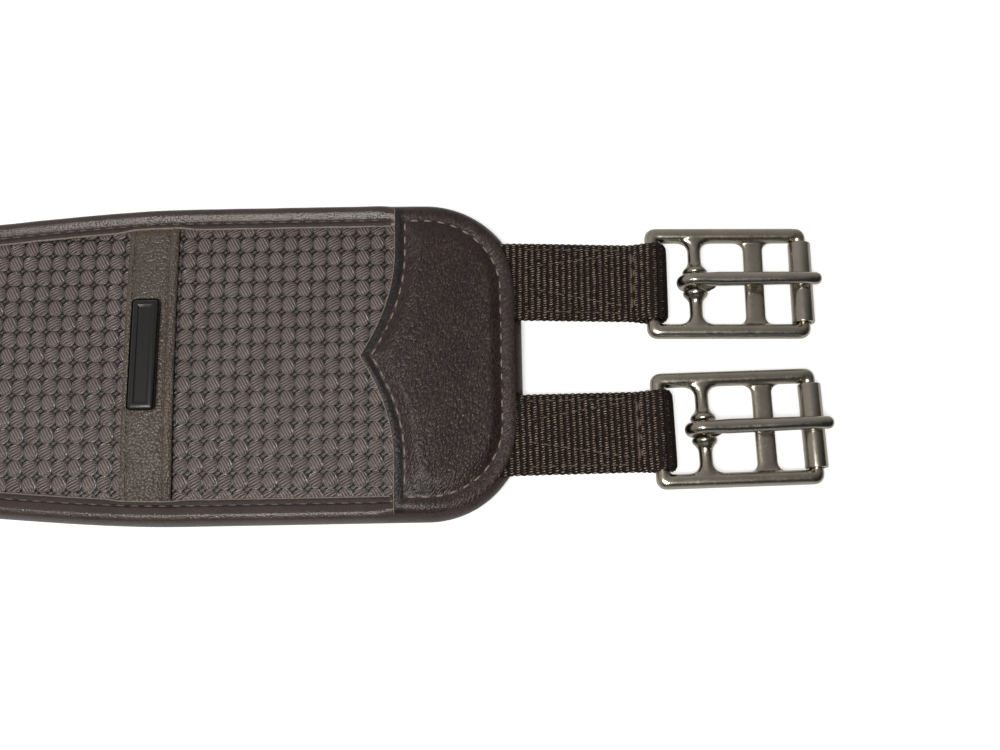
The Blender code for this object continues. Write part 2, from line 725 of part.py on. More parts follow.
def main():
    for obj in list(bpy.data.objects):
        bpy.data.objects.remove(obj, do_unlink=True)
    girth = bpy.data.objects.new("girth", None)
    bpy.context.collection.objects.link(girth)
    lining = material_of("smooth brown lining", (0.085, 0.066, 0.060), 0.45)
    foam = material_of("grey foam", (0.30, 0.30, 0.29), 0.95)
    face = material_of("woven-pattern brown face", (0.100, 0.080, 0.075), 0.50)
    leather = material_of("dark brown leather", (0.045, 0.033, 0.030), 0.42)
    band = material_of("olive-brown band", (0.080, 0.066, 0.054), 0.50)
    plate = material_of("black plate", (0.012, 0.011, 0.010), 0.35)
    webbing = material_of("dark brown webbing", (0.030, 0.022, 0.017), 0.75)
    steel = material_of("cast stainless steel", (0.42, 0.40, 0.36), 0.28, 1.0)
    bright = material_of("polished stainless steel", (0.46, 0.44, 0.40), 0.22, 1.0)
    build_lining(girth, lining)
    build_foam(girth, foam)
    build_face(girth, face)
    build_tab("right_end_tab", 1, girth, leather)
    build_tab("left_end_tab", -1, girth, leather)
    build_band(girth, band)
    build_plate(girth, plate)
    for side_name, side in (("rear", 1), ("front", -1)):
        build_strap(f"{side_name}_strap", side, girth, webbing)
        for end_name, end in (("right", 1), ("left", -1)):
            build_buckle(end_name, end, side_name, side, girth, steel, bright)


main()
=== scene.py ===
"""Looks of the padded saddle girth: moulded weave, leather, webbing, thread and cast steel.

Places are worked out in millimetres in the part's own frame and turned to metres when a mesh is set.
"""

import json
import math

import bpy
from mathutils import Matrix, Vector, noise


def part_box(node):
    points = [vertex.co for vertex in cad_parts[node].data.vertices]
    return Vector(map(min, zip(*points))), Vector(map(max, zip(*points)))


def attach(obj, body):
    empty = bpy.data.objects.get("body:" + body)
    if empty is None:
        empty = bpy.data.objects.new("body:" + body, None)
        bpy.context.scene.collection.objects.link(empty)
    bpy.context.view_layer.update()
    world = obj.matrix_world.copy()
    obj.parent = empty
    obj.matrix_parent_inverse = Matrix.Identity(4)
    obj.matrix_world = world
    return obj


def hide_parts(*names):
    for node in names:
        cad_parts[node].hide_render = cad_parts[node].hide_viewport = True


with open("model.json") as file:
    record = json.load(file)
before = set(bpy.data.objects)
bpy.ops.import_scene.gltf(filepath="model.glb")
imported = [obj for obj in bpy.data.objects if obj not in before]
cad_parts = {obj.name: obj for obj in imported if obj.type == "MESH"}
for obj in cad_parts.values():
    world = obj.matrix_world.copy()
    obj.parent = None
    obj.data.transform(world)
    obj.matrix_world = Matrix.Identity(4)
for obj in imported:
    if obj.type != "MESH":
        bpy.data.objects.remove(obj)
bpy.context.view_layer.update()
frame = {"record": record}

MM = 0.001

# Panel, as in the solids
PANEL_END = 211.0
END_HALF = 50.5
WAIST_HALF = 44.0
FLARE_LENGTH = 108.0
CORNER_RADIUS = 29.4
CORNER_X = PANEL_END - CORNER_RADIUS
CORNER_Y = END_HALF - CORNER_RADIUS
EDGE_HEIGHT = 10.5
FACE_END = 174.6
FACE_TOP = 9.0
FACE_CROWN = 1.4
EDGE_TURN = 7.8
RIM_FROM = 174.9
RIM_TO = 203.1
RIM_LOW = 4.0
RIM_HIGH = 8.0

# Rolled edge and the back of the face
ROLLED_TO = 167.0
ROLLED_FADE = 4.4
CHANNEL_INSET = 5.35
RAW_EDGE_INSET = 7.46
FACE_BACK = 7.0

# End tabs
TAB_THICKNESS = 1.4
TAB_SEAT = 10.8
TAB_SEAT_AT_END = 8.3
TAB_MARGIN = 2.2
TAB_SIDE_LENGTH = 39.4
TAB_CUSP_LENGTH = 50.0
TAB_CUSP_SPREAD = 33.0
TAB_SEAM_SIDE = 7.0
TAB_SEAM_END = 6.5
TAB_SEAM_INNER = 3.4
TAB_PUFF = 1.5

# Cross band
BAND_X = PANEL_END - 114.6
BAND_HALF = 7.8
BAND_LEAN = 0.014

# Webbing
STRAP_WIDTH = 25.0
STRAP_THICKNESS = 1.7
STRAP_Y = 24.5
STRAP_LOW = 5.15
STRAP_HIGH = 7.15
STRAP_REACH = 42.0
STRAP_TOE = math.radians(1.0)
STRAP_INSIDE = 190.0
LOOP_RADIUS = 3.75
LOOP_THROAT = 7.2
BUCKLE_Z = 4.3
RIB_PITCH = 1.95
YARN_PITCH = 0.75

# Moulded weave of the face
WEAVE_X = 4.55
WEAVE_Y = 5.0
WEAVE_RELIEF = 1.05
PILLOW_LENGTHWISE = (2.49, 2.4)
PILLOW_CROSSWISE = (2.19, 2.74)
PILLOW_SQUARENESS = 2.9
PILLOW_ROUNDING = 0.7
KNOB_HEIGHT = 0.62
KNOB_RADIUS = 0.8
GROOVE_PITCH = 0.9

# Thread
SEAM_INSET = 5.85
SEAM_END = 168.0
SEAM_HEIGHT = 9.62
STITCH_PITCH = 4.2
STITCH_LENGTH = 3.0
STITCH_WIDTH = 0.64
STITCH_HEIGHT = 0.56

# Buckle, along X from its strap bar
INNER_HALF = 13.5
RAIL_WIDTH = 4.6
RAIL_HEIGHT = 5.0
RAIL_Y = INNER_HALF + RAIL_WIDTH / 2
STRAP_BAR = 4.6
TONGUE_BAR_X = 13.4
TONGUE_BAR = 4.4
COLLAR = 8.0
KEEPER_X = 32.2
KEEPER_WIDTH = 6.2
KEEPER_HEIGHT = 2.7
KEEPER_Z = -0.6
ROLLER_X = 47.0
ROLLER = 7.0
ROLLER_WALL = 1.2
ROLLER_BAR = 4.0
ROLLER_HALF = 13.1
CORNER_ROUNDING = 3.1
TONGUE_WIRE = 4.2
TONGUE_TIP = 3.5
TONGUE_REACH = 52.0
TONGUE_EYE_HALF = 2.05
TONGUE_BREADTH = 1.13
BUCKLES = ("right_rear", "right_front", "left_rear", "left_front")


def mix(first, second, share):
    return first + (second - first) * share


def ease(value):
    value = min(1.0, max(0.0, value))
    return value * value * (3 - 2 * value)


def side_half(x):
    """Half the panel's width at x."""
    return mix(WAIST_HALF, END_HALF, ease(abs(x) / FLARE_LENGTH))


def half_width(x, inset):
    """Half the width at x of the panel's outline moved in by an inset."""
    past = abs(x) - CORNER_X
    if past <= 0:
        return side_half(x) - inset
    radius = CORNER_RADIUS - inset
    return CORNER_Y + math.sqrt(max(0.0, radius * radius - past * past))


def inset_at(x, y):
    """Distance of a point from the panel's outline."""
    past_x = abs(x) - CORNER_X
    past_y = abs(y) - CORNER_Y
    if past_x > 0 and past_y > 0:
        return CORNER_RADIUS - math.hypot(past_x, past_y)
    return min(side_half(x) - abs(y), PANEL_END - abs(x))


def rim_share(x):
    return ease((abs(x) - RIM_FROM) / (RIM_TO - RIM_FROM))


def face_height(x, y):
    """Height of the crowned face before its weave."""
    across = min(1.0, abs(y) / (side_half(x) - EDGE_TURN))
    return FACE_TOP + FACE_CROWN * (1 - across * across)


def tab_underside(x, y):
    share = rim_share(x)
    radius = EDGE_HEIGHT / 2
    inside = radius - min(radius, max(0.0, inset_at(x, y)))
    droop = radius - math.sqrt(radius * radius - inside * inside)
    return mix(TAB_SEAT, TAB_SEAT_AT_END, share) - droop * (1 - share)


def tab_inner(y):
    """How far along the panel the tab's cusped inner edge lies at y."""
    cusp = max(0.0, 1 - abs(y) / TAB_CUSP_SPREAD) ** 2
    return PANEL_END - mix(TAB_SIDE_LENGTH, TAB_CUSP_LENGTH, cusp)


def smooth_line(points, count):
    """Evenly numbered points on a smooth curve through the given ones."""
    line = []
    last = len(points) - 1
    for i in range(count + 1):
        at = i / count * last
        k = min(int(at), last - 1)
        t = at - k
        p = [Vector(points[min(max(k + j, 0), last)]) for j in (-1, 0, 1, 2)]
        line.append(
            0.5 * (
                2 * p[1]
                + (p[2] - p[0]) * t
                + (2 * p[0] - 5 * p[1] + 4 * p[2] - p[3]) * t * t
                + (3 * p[1] - p[0] - 3 * p[2] + p[3]) * t ** 3
            )
        )
    return line


def along_line(points, pitch):
    """Points a fixed pitch apart along a line of points, each with the length travelled."""
    found = [(points[0].copy(), 0.0)]
    travelled = 0.0
    due = pitch
    for near, far in zip(points, points[1:]):
        step = (far - near).length
        while step > 0 and due <= travelled + step:
            found.append((near.lerp(far, (due - travelled) / step), due))
            due += pitch
        travelled += step
    return found


def deselect():
    bpy.ops.object.select_all(action="DESELECT")


def activate(piece):
    """Makes a piece the active object and the only selected one."""
    deselect()
    bpy.context.view_layer.objects.active = piece
    piece.select_set(True)


def in_mode(mode):
    bpy.ops.object.mode_set(mode=mode)


def grid_piece(name, columns, rows, place):
    """A grid of quads laid out by place(column, row), which gives millimetres."""
    deselect()
    bpy.ops.mesh.primitive_grid_add(x_subdivisions=columns, y_subdivisions=rows, size=1.0)
    piece = bpy.context.object
    piece.name = name
    piece.data.name = name
    for vertex in piece.data.vertices:
        column = round((vertex.co.x + 0.5) * columns)
        row = round((vertex.co.y + 0.5) * rows)
        vertex.co = Vector(place(column, row)) * MM
    return piece


def loft_piece(name, rings, closed_path=False):
    """A skin over rings of points, its path closed on itself or its two ends filled."""
    count = len(rings[0])
    steps = len(rings) if closed_path else len(rings) - 1
    piece = grid_piece(name, steps, count, lambda i, j: rings[i % len(rings)][j % count])
    edit(piece)
    bpy.ops.mesh.remove_doubles(threshold=1e-6)
    if not closed_path:
        bpy.ops.mesh.fill_holes(sides=0)
    bpy.ops.mesh.normals_make_consistent(inside=False)
    in_mode("OBJECT")
    return piece


def edit(piece):
    """Opens a piece in edit mode with all of it selected."""
    activate(piece)
    in_mode("EDIT")
    bpy.ops.mesh.select_mode(type="VERT")
    bpy.ops.mesh.select_all(action="SELECT")


def face_outward(piece):
    """Turns every face of a piece to its outside."""
    edit(piece)
    bpy.ops.mesh.normals_make_consistent(inside=False)
    in_mode("OBJECT")


def modify(piece, name, kind, **settings):
    """Adds a modifier with its settings."""
    modifier = piece.modifiers.new(name, kind)
    for key, value in settings.items():
        setattr(modifier, key, value)
    return modifier


def apply_all(piece):
    """Applies every modifier of a piece in order."""
    activate(piece)
    for modifier in list(piece.modifiers):
        bpy.ops.object.modifier_apply(modifier=modifier.name)


def smooth(piece, angle):
    activate(piece)
    bpy.ops.object.shade_smooth_by_angle(angle=math.radians(angle))


def copy_of(piece, name, matrix):
    """A copy with its own mesh, moved in its mesh; a mirrored copy is turned right side out."""
    twin = piece.copy()
    twin.data = piece.data.copy()
    twin.name = name
    twin.data.name = name
    bpy.context.collection.objects.link(twin)
    twin.data.transform(matrix)
    if matrix.determinant() < 0:
        twin.data.flip_normals()
    return twin


def dress(piece, material, body, slot, *nodes):
    """Gives a piece its material, its body and the nodes that it stands for; its slot argument is not used.
    """
    piece.data.materials.clear()
    for each in material if isinstance(material, list) else [material]:
        piece.data.materials.append(each)
    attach(piece, body)
    if nodes:
        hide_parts(*nodes)


# Materials


def colour(hex_value):
    """Linear colour of an sRGB hex value."""
    channels = []
    for k in (0, 2, 4):
        c = int(hex_value[k : k + 2], 16) / 255
        channels.append(c / 12.92 if c <= 0.04045 else ((c + 0.055) / 1.055) ** 2.4)
    return (*channels, 1.0)


def add_node(tree, kind, inputs=None, **settings):
    """Adds a node, sets its properties and fills its inputs with values or with other nodes' sockets."""
    node = tree.nodes.new("ShaderNode" + kind)
    for key, value in settings.items():
        setattr(node, key, value)
    for key, value in (inputs or {}).items():
        if isinstance(value, bpy.types.NodeSocket):
            tree.links.new(value, node.inputs[key])
        else:
            node.inputs[key].default_value = value
    return node


def new_material(name, **values):
    """A material with its shader's own sockets set, its node tree and its shader."""
    material = bpy.data.materials.new(name)
    material.use_nodes = True
    shader = material.node_tree.nodes["Principled BSDF"]
    for key, value in values.items():
        shader.inputs[key.replace("_", " ").title().replace("Ior", "IOR")].default_value = value
    return material, material.node_tree, shader


def feed(tree, shader, sockets):
    """Links other nodes' sockets to a shader's inputs."""
    for key, socket in sockets.items():
        tree.links.new(socket, shader.inputs[key])


def per_mm(size):
    """Texture scale, per metre of Object coordinates, for a pattern of a size in millimetres."""
    return 1.0 / (size * MM)


def ramp_between(tree, factor, dark, light, low=0.3, high=0.7):
    """Colour that runs from dark to light as a factor goes from low to high."""
    share = add_node(tree, "MapRange", {"Value": factor, "From Min": low, "From Max": high}).outputs["Result"]
    return add_node(
        tree, "Mix", {"Factor": share, "A": colour(dark), "B": colour(light)}, data_type="RGBA"
    ).outputs["Result"]


def shaded(tree, tint, value, low, high, first, last):
    """A colour multiplied by a factor that goes from first to last as a value goes from low to high."""
    factor = add_node(
        tree, "MapRange", {"Value": value, "From Min": low, "From Max": high, "To Min": first, "To Max": last}
    ).outputs["Result"]
    return add_node(
        tree, "Mix", {"Factor": 1.0, "A": tint, "B": factor}, data_type="RGBA", blend_type="MULTIPLY"
    ).outputs["Result"]


def moulded_weave():
    """Moulded polyurethane basket weave: satin pillows and fine grooves across each pillow, with painted
    shade in the pits and painted highlight and shade along the grooves.
    """
    material, tree, shader = new_material("moulded_basket_weave_polyurethane", ior=1.5)
    place = add_node(tree, "TexCoord").outputs["Object"]
    height = add_node(tree, "Attribute", attribute_name="weave_height").outputs["Fac"]
    crosswise = add_node(tree, "Attribute", attribute_name="weave_over").outputs["Fac"]
    # Grooves lean one way on the lengthwise pillows, and the other way and softer on the crosswise ones
    grooves = []
    for lean, force in ((62, 1.15), (-30, 0.8)):
        turned = add_node(
            tree, "Mapping", {"Vector": place, "Rotation": (0, 0, math.radians(lean)), "Scale": (1 / MM,) * 3}
        )
        run = add_node(tree, "SeparateXYZ", {"Vector": turned.outputs["Vector"]}).outputs["X"]
        phase = add_node(tree, "Math", {0: run, 1: 2 * math.pi / GROOVE_PITCH}, operation="MULTIPLY")
        wave = add_node(tree, "Math", {0: phase.outputs[0]}, operation="SINE").outputs[0]
        grooves.append(add_node(tree, "Math", {0: wave, 1: force}, operation="MULTIPLY").outputs[0])
    lines = add_node(tree, "Mix", {"Factor": crosswise, "A": grooves[0], "B": grooves[1]}).outputs["Result"]
    on_pillow = add_node(tree, "MapRange", {"Value": height, "From Min": 0.45, "From Max": 0.7})
    cut = add_node(tree, "Math", {0: lines, 1: on_pillow.outputs["Result"]}, operation="MULTIPLY").outputs[0]
    mottle = add_node(tree, "TexNoise", {"Vector": place, "Scale": per_mm(14), "Detail": 4.0}).outputs["Fac"]
    # Painted shade: the colour runs from near black in the pits and creases between pillows up to the pillow
    # tops
    tint = ramp_between(tree, height, "140e0c", "6e6360")
    tint = shaded(tree, tint, mottle, 0.3, 0.7, 0.9, 1.1)
    # Painted highlight and shade: the groove crests are drawn lighter and the troughs darker
    tint = shaded(tree, tint, cut, -1.0, 1.0, 0.42, 1.66)
    dull = add_node(tree, "MapRange", {"Value": height, "From Max": 0.5, "To Min": 0.9, "To Max": 0.26})
    shine = add_node(tree, "MapRange", {"Value": height, "From Min": 0.12, "From Max": 0.52, "To Max": 0.7})
    pressed = add_node(tree, "Bump", {"Height": cut, "Strength": 1.0, "Distance": 0.24 * MM})
    grain = add_node(tree, "TexNoise", {"Vector": place, "Scale": per_mm(0.5), "Detail": 3.0}).outputs["Fac"]
    skin = add_node(
        tree,
        "Bump",
        {"Height": grain, "Strength": 0.25, "Distance": 0.1 * MM, "Normal": pressed.outputs["Normal"]},
    )
    feed(
        tree,
        shader,
        {
            "Base Color": tint,
            "Roughness": dull.outputs["Result"],
            "Specular IOR Level": shine.outputs["Result"],
            "Normal": skin.outputs["Normal"],
        },
    )
    return material


def grained_leather(
    name, dark, light, roughness, grain, depth, stretch=1.0, turn=-50, ior=1.43, wrinkled=False
):
    """Leather or leather cloth: a grain of a size and depth in millimetres and a slow mottle of tone.

    The grain is one of small domes or, wrinkled, one of creases that are deeper where a tab is filled out,
    and its colour carries painted shade in the creases and between the domes.
    """
    material, tree, shader = new_material(name, ior=ior)
    place = add_node(tree, "TexCoord").outputs["Object"]
    angle = (0, 0, math.radians(turn))
    turned = add_node(tree, "Mapping", {"Vector": place, "Rotation": angle}).outputs["Vector"]
    laid = add_node(tree, "Mapping", {"Vector": turned, "Scale": (stretch, 1.0, 1.0)}).outputs["Vector"]
    warp = add_node(tree, "TexNoise", {"Vector": laid, "Scale": per_mm(3 * grain), "Detail": 2.0})
    pushed = add_node(
        tree, "Mix", {"Factor": 0.0006, "A": laid, "B": warp.outputs["Color"]}, data_type="VECTOR"
    ).outputs["Result"]
    mottle = add_node(tree, "TexNoise", {"Vector": place, "Scale": per_mm(11), "Detail": 5.0}).outputs["Fac"]
    tint = ramp_between(tree, mottle, dark, light)
    if wrinkled:
        creases = add_node(tree, "TexNoise", {"Vector": pushed, "Scale": per_mm(grain), "Detail": 1.0})
        cells = creases.outputs["Fac"]
        # Painted shade: the creases are drawn darker and the ridges between them lighter
        tint = shaded(tree, tint, cells, 0.36, 0.64, 1.3, 0.5)
        # The strip outside a tab's inner stitch line is drawn darker: painted shade of the hollow beside the
        # filled-out middle
        painted_cusp_shade = add_node(tree, "Attribute", attribute_name="painted_cusp_shade").outputs["Fac"]
        tint = shaded(tree, tint, painted_cusp_shade, 0.0, 1.0, 1.0, 0.42)
        filled = add_node(tree, "Attribute", attribute_name="filled").outputs["Fac"]
        force = add_node(tree, "MapRange", {"Value": filled, "To Min": 0.4, "To Max": 0.8}).outputs["Result"]
    else:
        domes = add_node(tree, "TexVoronoi", {"Vector": pushed, "Scale": per_mm(grain)}).outputs["Distance"]
        cells = add_node(tree, "Math", {0: domes, 1: domes}, operation="MULTIPLY").outputs[0]
        # Painted highlight and shade: the dome tops are drawn lighter and the hollows between the domes
        # darker
        tint = shaded(tree, tint, cells, 0.15, 0.75, 1.08, 0.8)
        force = 0.7
    fine = {"Vector": laid, "Scale": per_mm(0.35 * grain), "Detail": 3.0}
    pores = add_node(tree, "TexNoise", fine).outputs["Fac"]
    low, high = roughness - 0.06, roughness + 0.08
    dull = add_node(
        tree, "MapRange", {"Value": pores, "From Min": 0.3, "From Max": 0.7, "To Min": low, "To Max": high}
    )
    grained = add_node(
        tree, "Bump", {"Height": cells, "Strength": force, "Distance": depth * MM}, invert=True
    ).outputs["Normal"]
    skin = add_node(
        tree, "Bump", {"Height": pores, "Strength": 0.25, "Distance": 0.4 * depth * MM, "Normal": grained}
    )
    feed(
        tree,
        shader,
        {"Base Color": tint, "Roughness": dull.outputs["Result"], "Normal": skin.outputs["Normal"]},
    )
    return material


def cut_edge():
    """Raw cut edge of the tab leather: paler, dry and fibrous."""
    material, tree, shader = new_material("cut_leather_edge", roughness=0.75)
    place = add_node(tree, "TexCoord").outputs["Object"]
    fibre = add_node(tree, "TexNoise", {"Vector": place, "Scale": per_mm(0.7), "Detail": 4.0}).outputs["Fac"]
    feed(tree, shader, {"Base Color": ramp_between(tree, fibre, "64594f", "8c8178")})
    return material


def woven_webbing():
    """Nylon webbing: ribs in the mesh, and yarns across them drawn coarser than real so that they show, as
    painted highlight on the rib crests and painted shade between the ribs.

    Along the strap the UV map counts from the turn round the buckle's bar, where the yarns are flat and their
    painted highlight is dimmed.
    """
    material, tree, shader = new_material(
        "ribbed_nylon_webbing", roughness=0.7, ior=1.4, specular_ior_level=0.3
    )
    uv = add_node(tree, "SeparateXYZ", {"Vector": add_node(tree, "UVMap").outputs["UV"]}).outputs
    along = add_node(tree, "Math", {0: uv["X"], 1: math.pi / RIB_PITCH}, operation="MULTIPLY").outputs[0]
    swing = add_node(tree, "Math", {0: along}, operation="COSINE").outputs[0]
    crest = add_node(tree, "Math", {0: swing}, operation="ABSOLUTE").outputs[0]
    across = add_node(tree, "Math", {0: uv["Y"], 1: 2 * math.pi / YARN_PITCH}, operation="MULTIPLY")
    lean = add_node(tree, "Math", {0: along, 1: across.outputs[0]}, operation="ADD").outputs[0]
    wave = add_node(tree, "Math", {0: lean}, operation="SINE").outputs[0]
    yarn = add_node(tree, "MapRange", {"Value": wave, "From Min": -1.0, "From Max": 1.0}).outputs["Result"]
    thread = add_node(tree, "Math", {0: crest, 1: yarn}, operation="MULTIPLY").outputs[0]
    place = add_node(tree, "TexCoord").outputs["Object"]
    fuzz = add_node(tree, "TexNoise", {"Vector": place, "Scale": per_mm(0.9), "Detail": 3.0}).outputs["Fac"]
    fuzzy = add_node(tree, "Math", {0: thread, 1: fuzz}, operation="MULTIPLY").outputs[0]
    from_turn = add_node(tree, "Math", {0: uv["X"]}, operation="ABSOLUTE").outputs[0]
    raised = add_node(tree, "MapRange", {"Value": from_turn, "From Min": 3.0, "From Max": 8.5, "To Min": 0.6})
    lit = add_node(tree, "Math", {0: fuzzy, 1: raised.outputs["Result"]}, operation="MULTIPLY").outputs[0]
    # Painted highlight: yarns on the rib crests drawn pale, with painted shade near black between the ribs
    tint = ramp_between(tree, lit, "150d08", "b29e8b", 0.27, 0.6)
    bump = add_node(tree, "Bump", {"Height": thread, "Strength": 1.0, "Distance": 0.3 * MM})
    feed(tree, shader, {"Base Color": tint, "Normal": bump.outputs["Normal"]})
    return material


def twisted_thread(name, dark, light):
    """Bonded polyester thread: a slight twist and a soft shine."""
    material, tree, shader = new_material(name, roughness=0.55)
    place = add_node(tree, "TexCoord").outputs["Object"]
    twist = add_node(tree, "TexNoise", {"Vector": place, "Scale": per_mm(0.4), "Detail": 2.0}).outputs["Fac"]
    tint = ramp_between(tree, twist, dark, light)
    bump = add_node(tree, "Bump", {"Height": twist, "Strength": 0.4, "Distance": 0.1 * MM})
    feed(tree, shader, {"Base Color": tint, "Normal": bump.outputs["Normal"]})
    return material


def stainless(name, dark, light, roughness, scratch):
    """Stainless steel, tumbled after casting or drawing: satin shine with fine handling marks."""
    material, tree, shader = new_material(name, metallic=1.0)
    place = add_node(tree, "TexCoord").outputs["Object"]
    cloud = add_node(tree, "TexNoise", {"Vector": place, "Scale": per_mm(6), "Detail": 4.0}).outputs["Fac"]
    fine = {"Vector": place, "Scale": per_mm(scratch), "Detail": 5.0}
    marks = add_node(tree, "TexNoise", fine).outputs["Fac"]
    tint = ramp_between(tree, cloud, dark, light)
    low, high = roughness - 0.03, roughness + 0.04
    dull = add_node(
        tree, "MapRange", {"Value": marks, "From Min": 0.3, "From Max": 0.7, "To Min": low, "To Max": high}
    )
    bump = add_node(tree, "Bump", {"Height": marks, "Strength": 0.01, "Distance": 0.1 * MM})
    feed(
        tree,
        shader,
        {"Base Color": tint, "Roughness": dull.outputs["Result"], "Normal": bump.outputs["Normal"]},
    )
    return material


def black_enamel():
    """Black enamel face of the small plate: smooth, with a faint orange-peel."""
    material, tree, shader = new_material("black_enamel", roughness=0.3, base_color=colour("121110"))
    place = add_node(tree, "TexCoord").outputs["Object"]
    peel = add_node(tree, "TexNoise", {"Vector": place, "Scale": per_mm(0.8), "Detail": 2.0}).outputs["Fac"]
    bump = add_node(tree, "Bump", {"Height": peel, "Strength": 0.12, "Distance": 0.1 * MM})
    feed(tree, shader, {"Normal": bump.outputs["Normal"]})
    return material


WEAVE = moulded_weave()
CHANNEL = grained_leather("lining_in_the_stitched_channel", "261d1a", "2f2521", 0.6, 0.5, 0.15)
LINING = grained_leather("smooth_polyurethane_lining", "372c28", "423530", 0.35, 0.6, 0.13, ior=1.52)
TAB = grained_leather("creased_tab_leather", "2a201e", "352926", 0.38, 0.5, 0.55, 0.4, -58, wrinkled=True)
BAND = grained_leather("pebbled_band_leather", "473e37", "534941", 0.33, 0.85, 0.5)
EDGE = cut_edge()
WEBBING = woven_webbing()
PALE_THREAD = twisted_thread("pale_bonded_thread", "6a5d53", "8c7e73")
DARK_THREAD = twisted_thread("dark_bonded_thread", "4a3f39", "5e524b")
STRAP_THREAD = twisted_thread("brown_strap_thread", "453a31", "5e5146")
CAST_STEEL = stainless("tumbled_cast_stainless", "a79f90", "b2aa9b", 0.24, 1.2)
BRIGHT_STEEL = stainless("drawn_stainless", "aaa295", "b5ada0", 0.2, 0.9)
ENAMEL = black_enamel()
RIM_STEEL = stainless("plate_rim_metal", "5a5953", "66645e", 0.32, 0.8)


# Padded panel


def edge_stations(pitch):
    """Points round the panel's outline, each with its inward direction."""
    stations = []
    count = round(2 * CORNER_X / pitch)
    for i in range(count):
        x = mix(-CORNER_X, CORNER_X, i / count)
        stations.append((x, -side_half(x), 0.0, 1.0))
    turns = round(math.pi / 2 * CORNER_RADIUS / pitch)
    for start, cy in ((-90, -CORNER_Y), (0, CORNER_Y)):
        for i in range(turns + 1):
            angle = math.radians(start + 90 * i / turns)
            c, s = math.cos(angle), math.sin(angle)
            stations.append((CORNER_X + CORNER_RADIUS * c, cy + CORNER_RADIUS * s, -c, -s))
        if start == -90:
            ends = round(2 * CORNER_Y / pitch)
            for i in range(1, ends):
                stations.append((PANEL_END, mix(-CORNER_Y, CORNER_Y, i / ends), -1.0, 0.0))
    stations.pop()
    return stations + [(-x, -y, -nx, -ny) for x, y, nx, ny in stations]


def edge_height(x, y):
    """Height of the turned edge: full at the sides, up to the tab at the ends, low under a strap."""
    outside = ease((abs(abs(y) - STRAP_Y) - STRAP_WIDTH / 2 - 0.1) / 0.8)
    return mix(EDGE_HEIGHT, mix(RIM_LOW, RIM_HIGH, outside), rim_share(x))


def near_band(x):
    """How much the cross band lifts the edge at x."""
    return ease((13.0 - abs(x - BAND_X)) / 6.0)


def panel_lining():
    """Lining sheet: flat underside, wall, and an edge rolled over the foam and sewn down beside the weave."""
    bead = [
        (9.0, 0.0), (6.0, 0.0), (4.0, 0.05), (2.4, 0.35), (1.2, 1.1), (0.45, 2.3), (0.08, 3.8), (0.0, 5.2),
        (0.12, 6.6), (0.45, 8.0), (0.95, 9.2), (1.45, 9.82), (1.95, 10.14), (2.45, 10.35), (2.95, 10.47),
        (3.5, 10.38), (4.1, 10.18), (4.7, 9.96), (5.25, 9.74), (5.6, 9.56), (5.85, 9.4), (6.2, 9.46),
        (6.7, 9.4), (7.2, 9.28), (7.5, 9.2), (7.75, 9.1), (7.86, 8.92), (7.8, 8.7), (7.2, 8.5), (6.4, 8.2),
    ]
    section = smooth_line([(d, z, 0) for d, z in bead], 56)
    stations = edge_stations(1.25)
    radius = EDGE_HEIGHT / 2
    rings = []
    for x, y, nx, ny in stations:
        scale = edge_height(x, y) / EDGE_HEIGHT
        plain = ease((abs(x) - ROLLED_TO) / ROLLED_FADE)
        run = x if ny else y
        ring = []
        for point in section:
            d, z = point.x, point.y
            if z > radius:
                bow = radius - min(radius, d)
                z = mix(z, min(z, radius + math.sqrt(radius * radius - bow * bow)), plain)
            on_top = ease((z - 7.0) / 2.5) * (1 - plain)
            lifted = near_band(x) * ease((d - 5.6) / 1.2) * on_top
            z += 0.7 * lifted
            d -= 0.5 * lifted
            valley = math.exp(-((d - SEAM_INSET) / 0.8) ** 2) * on_top
            hole = 0.5 + 0.5 * math.cos(2 * math.pi * run / STITCH_PITCH)
            gather = noise.noise((run / 1.6 + d * 0.5, d / 2.2, 7.0 * ny)) * on_top
            z = z - 0.3 * valley * hole + 0.05 * gather
            sway = 0.14 * noise.noise((run / 9.0, 3.0 * ny, 0.0)) * on_top
            ring.append((x + nx * (d + sway), y + ny * (d + sway), z * scale))
        rings.append(ring)
    piece = grid_piece("panel_lining", len(rings), len(section) - 1, lambda i, j: rings[i % len(rings)][j])
    edit(piece)
    bpy.ops.mesh.remove_doubles(threshold=1e-6)
    in_mode("OBJECT")
    # The underside is closed with one flat face inside the lowest loop
    for vertex in piece.data.vertices:
        vertex.select = vertex.co.z < 1e-7 and inset_at(vertex.co.x / MM, vertex.co.y / MM) > 8.5
    in_mode("EDIT")
    bpy.ops.mesh.edge_face_add()
    in_mode("OBJECT")
    face_outward(piece)
    smooth(piece, 60)
    dress(piece, [LINING, EDGE, CHANNEL], "girth", "lining", "lining_cover", "foam_core")
    # The sheet's raw edge shows as a thin pale line beside the weave, and its stitched channel is darker
    for polygon in piece.data.polygons:
        x, y, z = polygon.center / MM
        if abs(x) < 170 and z > 8.6:
            inset = inset_at(x, y)
            raw = inset > RAW_EDGE_INSET - 0.5 * near_band(x) and z > 8.75
            polygon.material_index = 1 if raw else 2 if inset > CHANNEL_INSET else 0


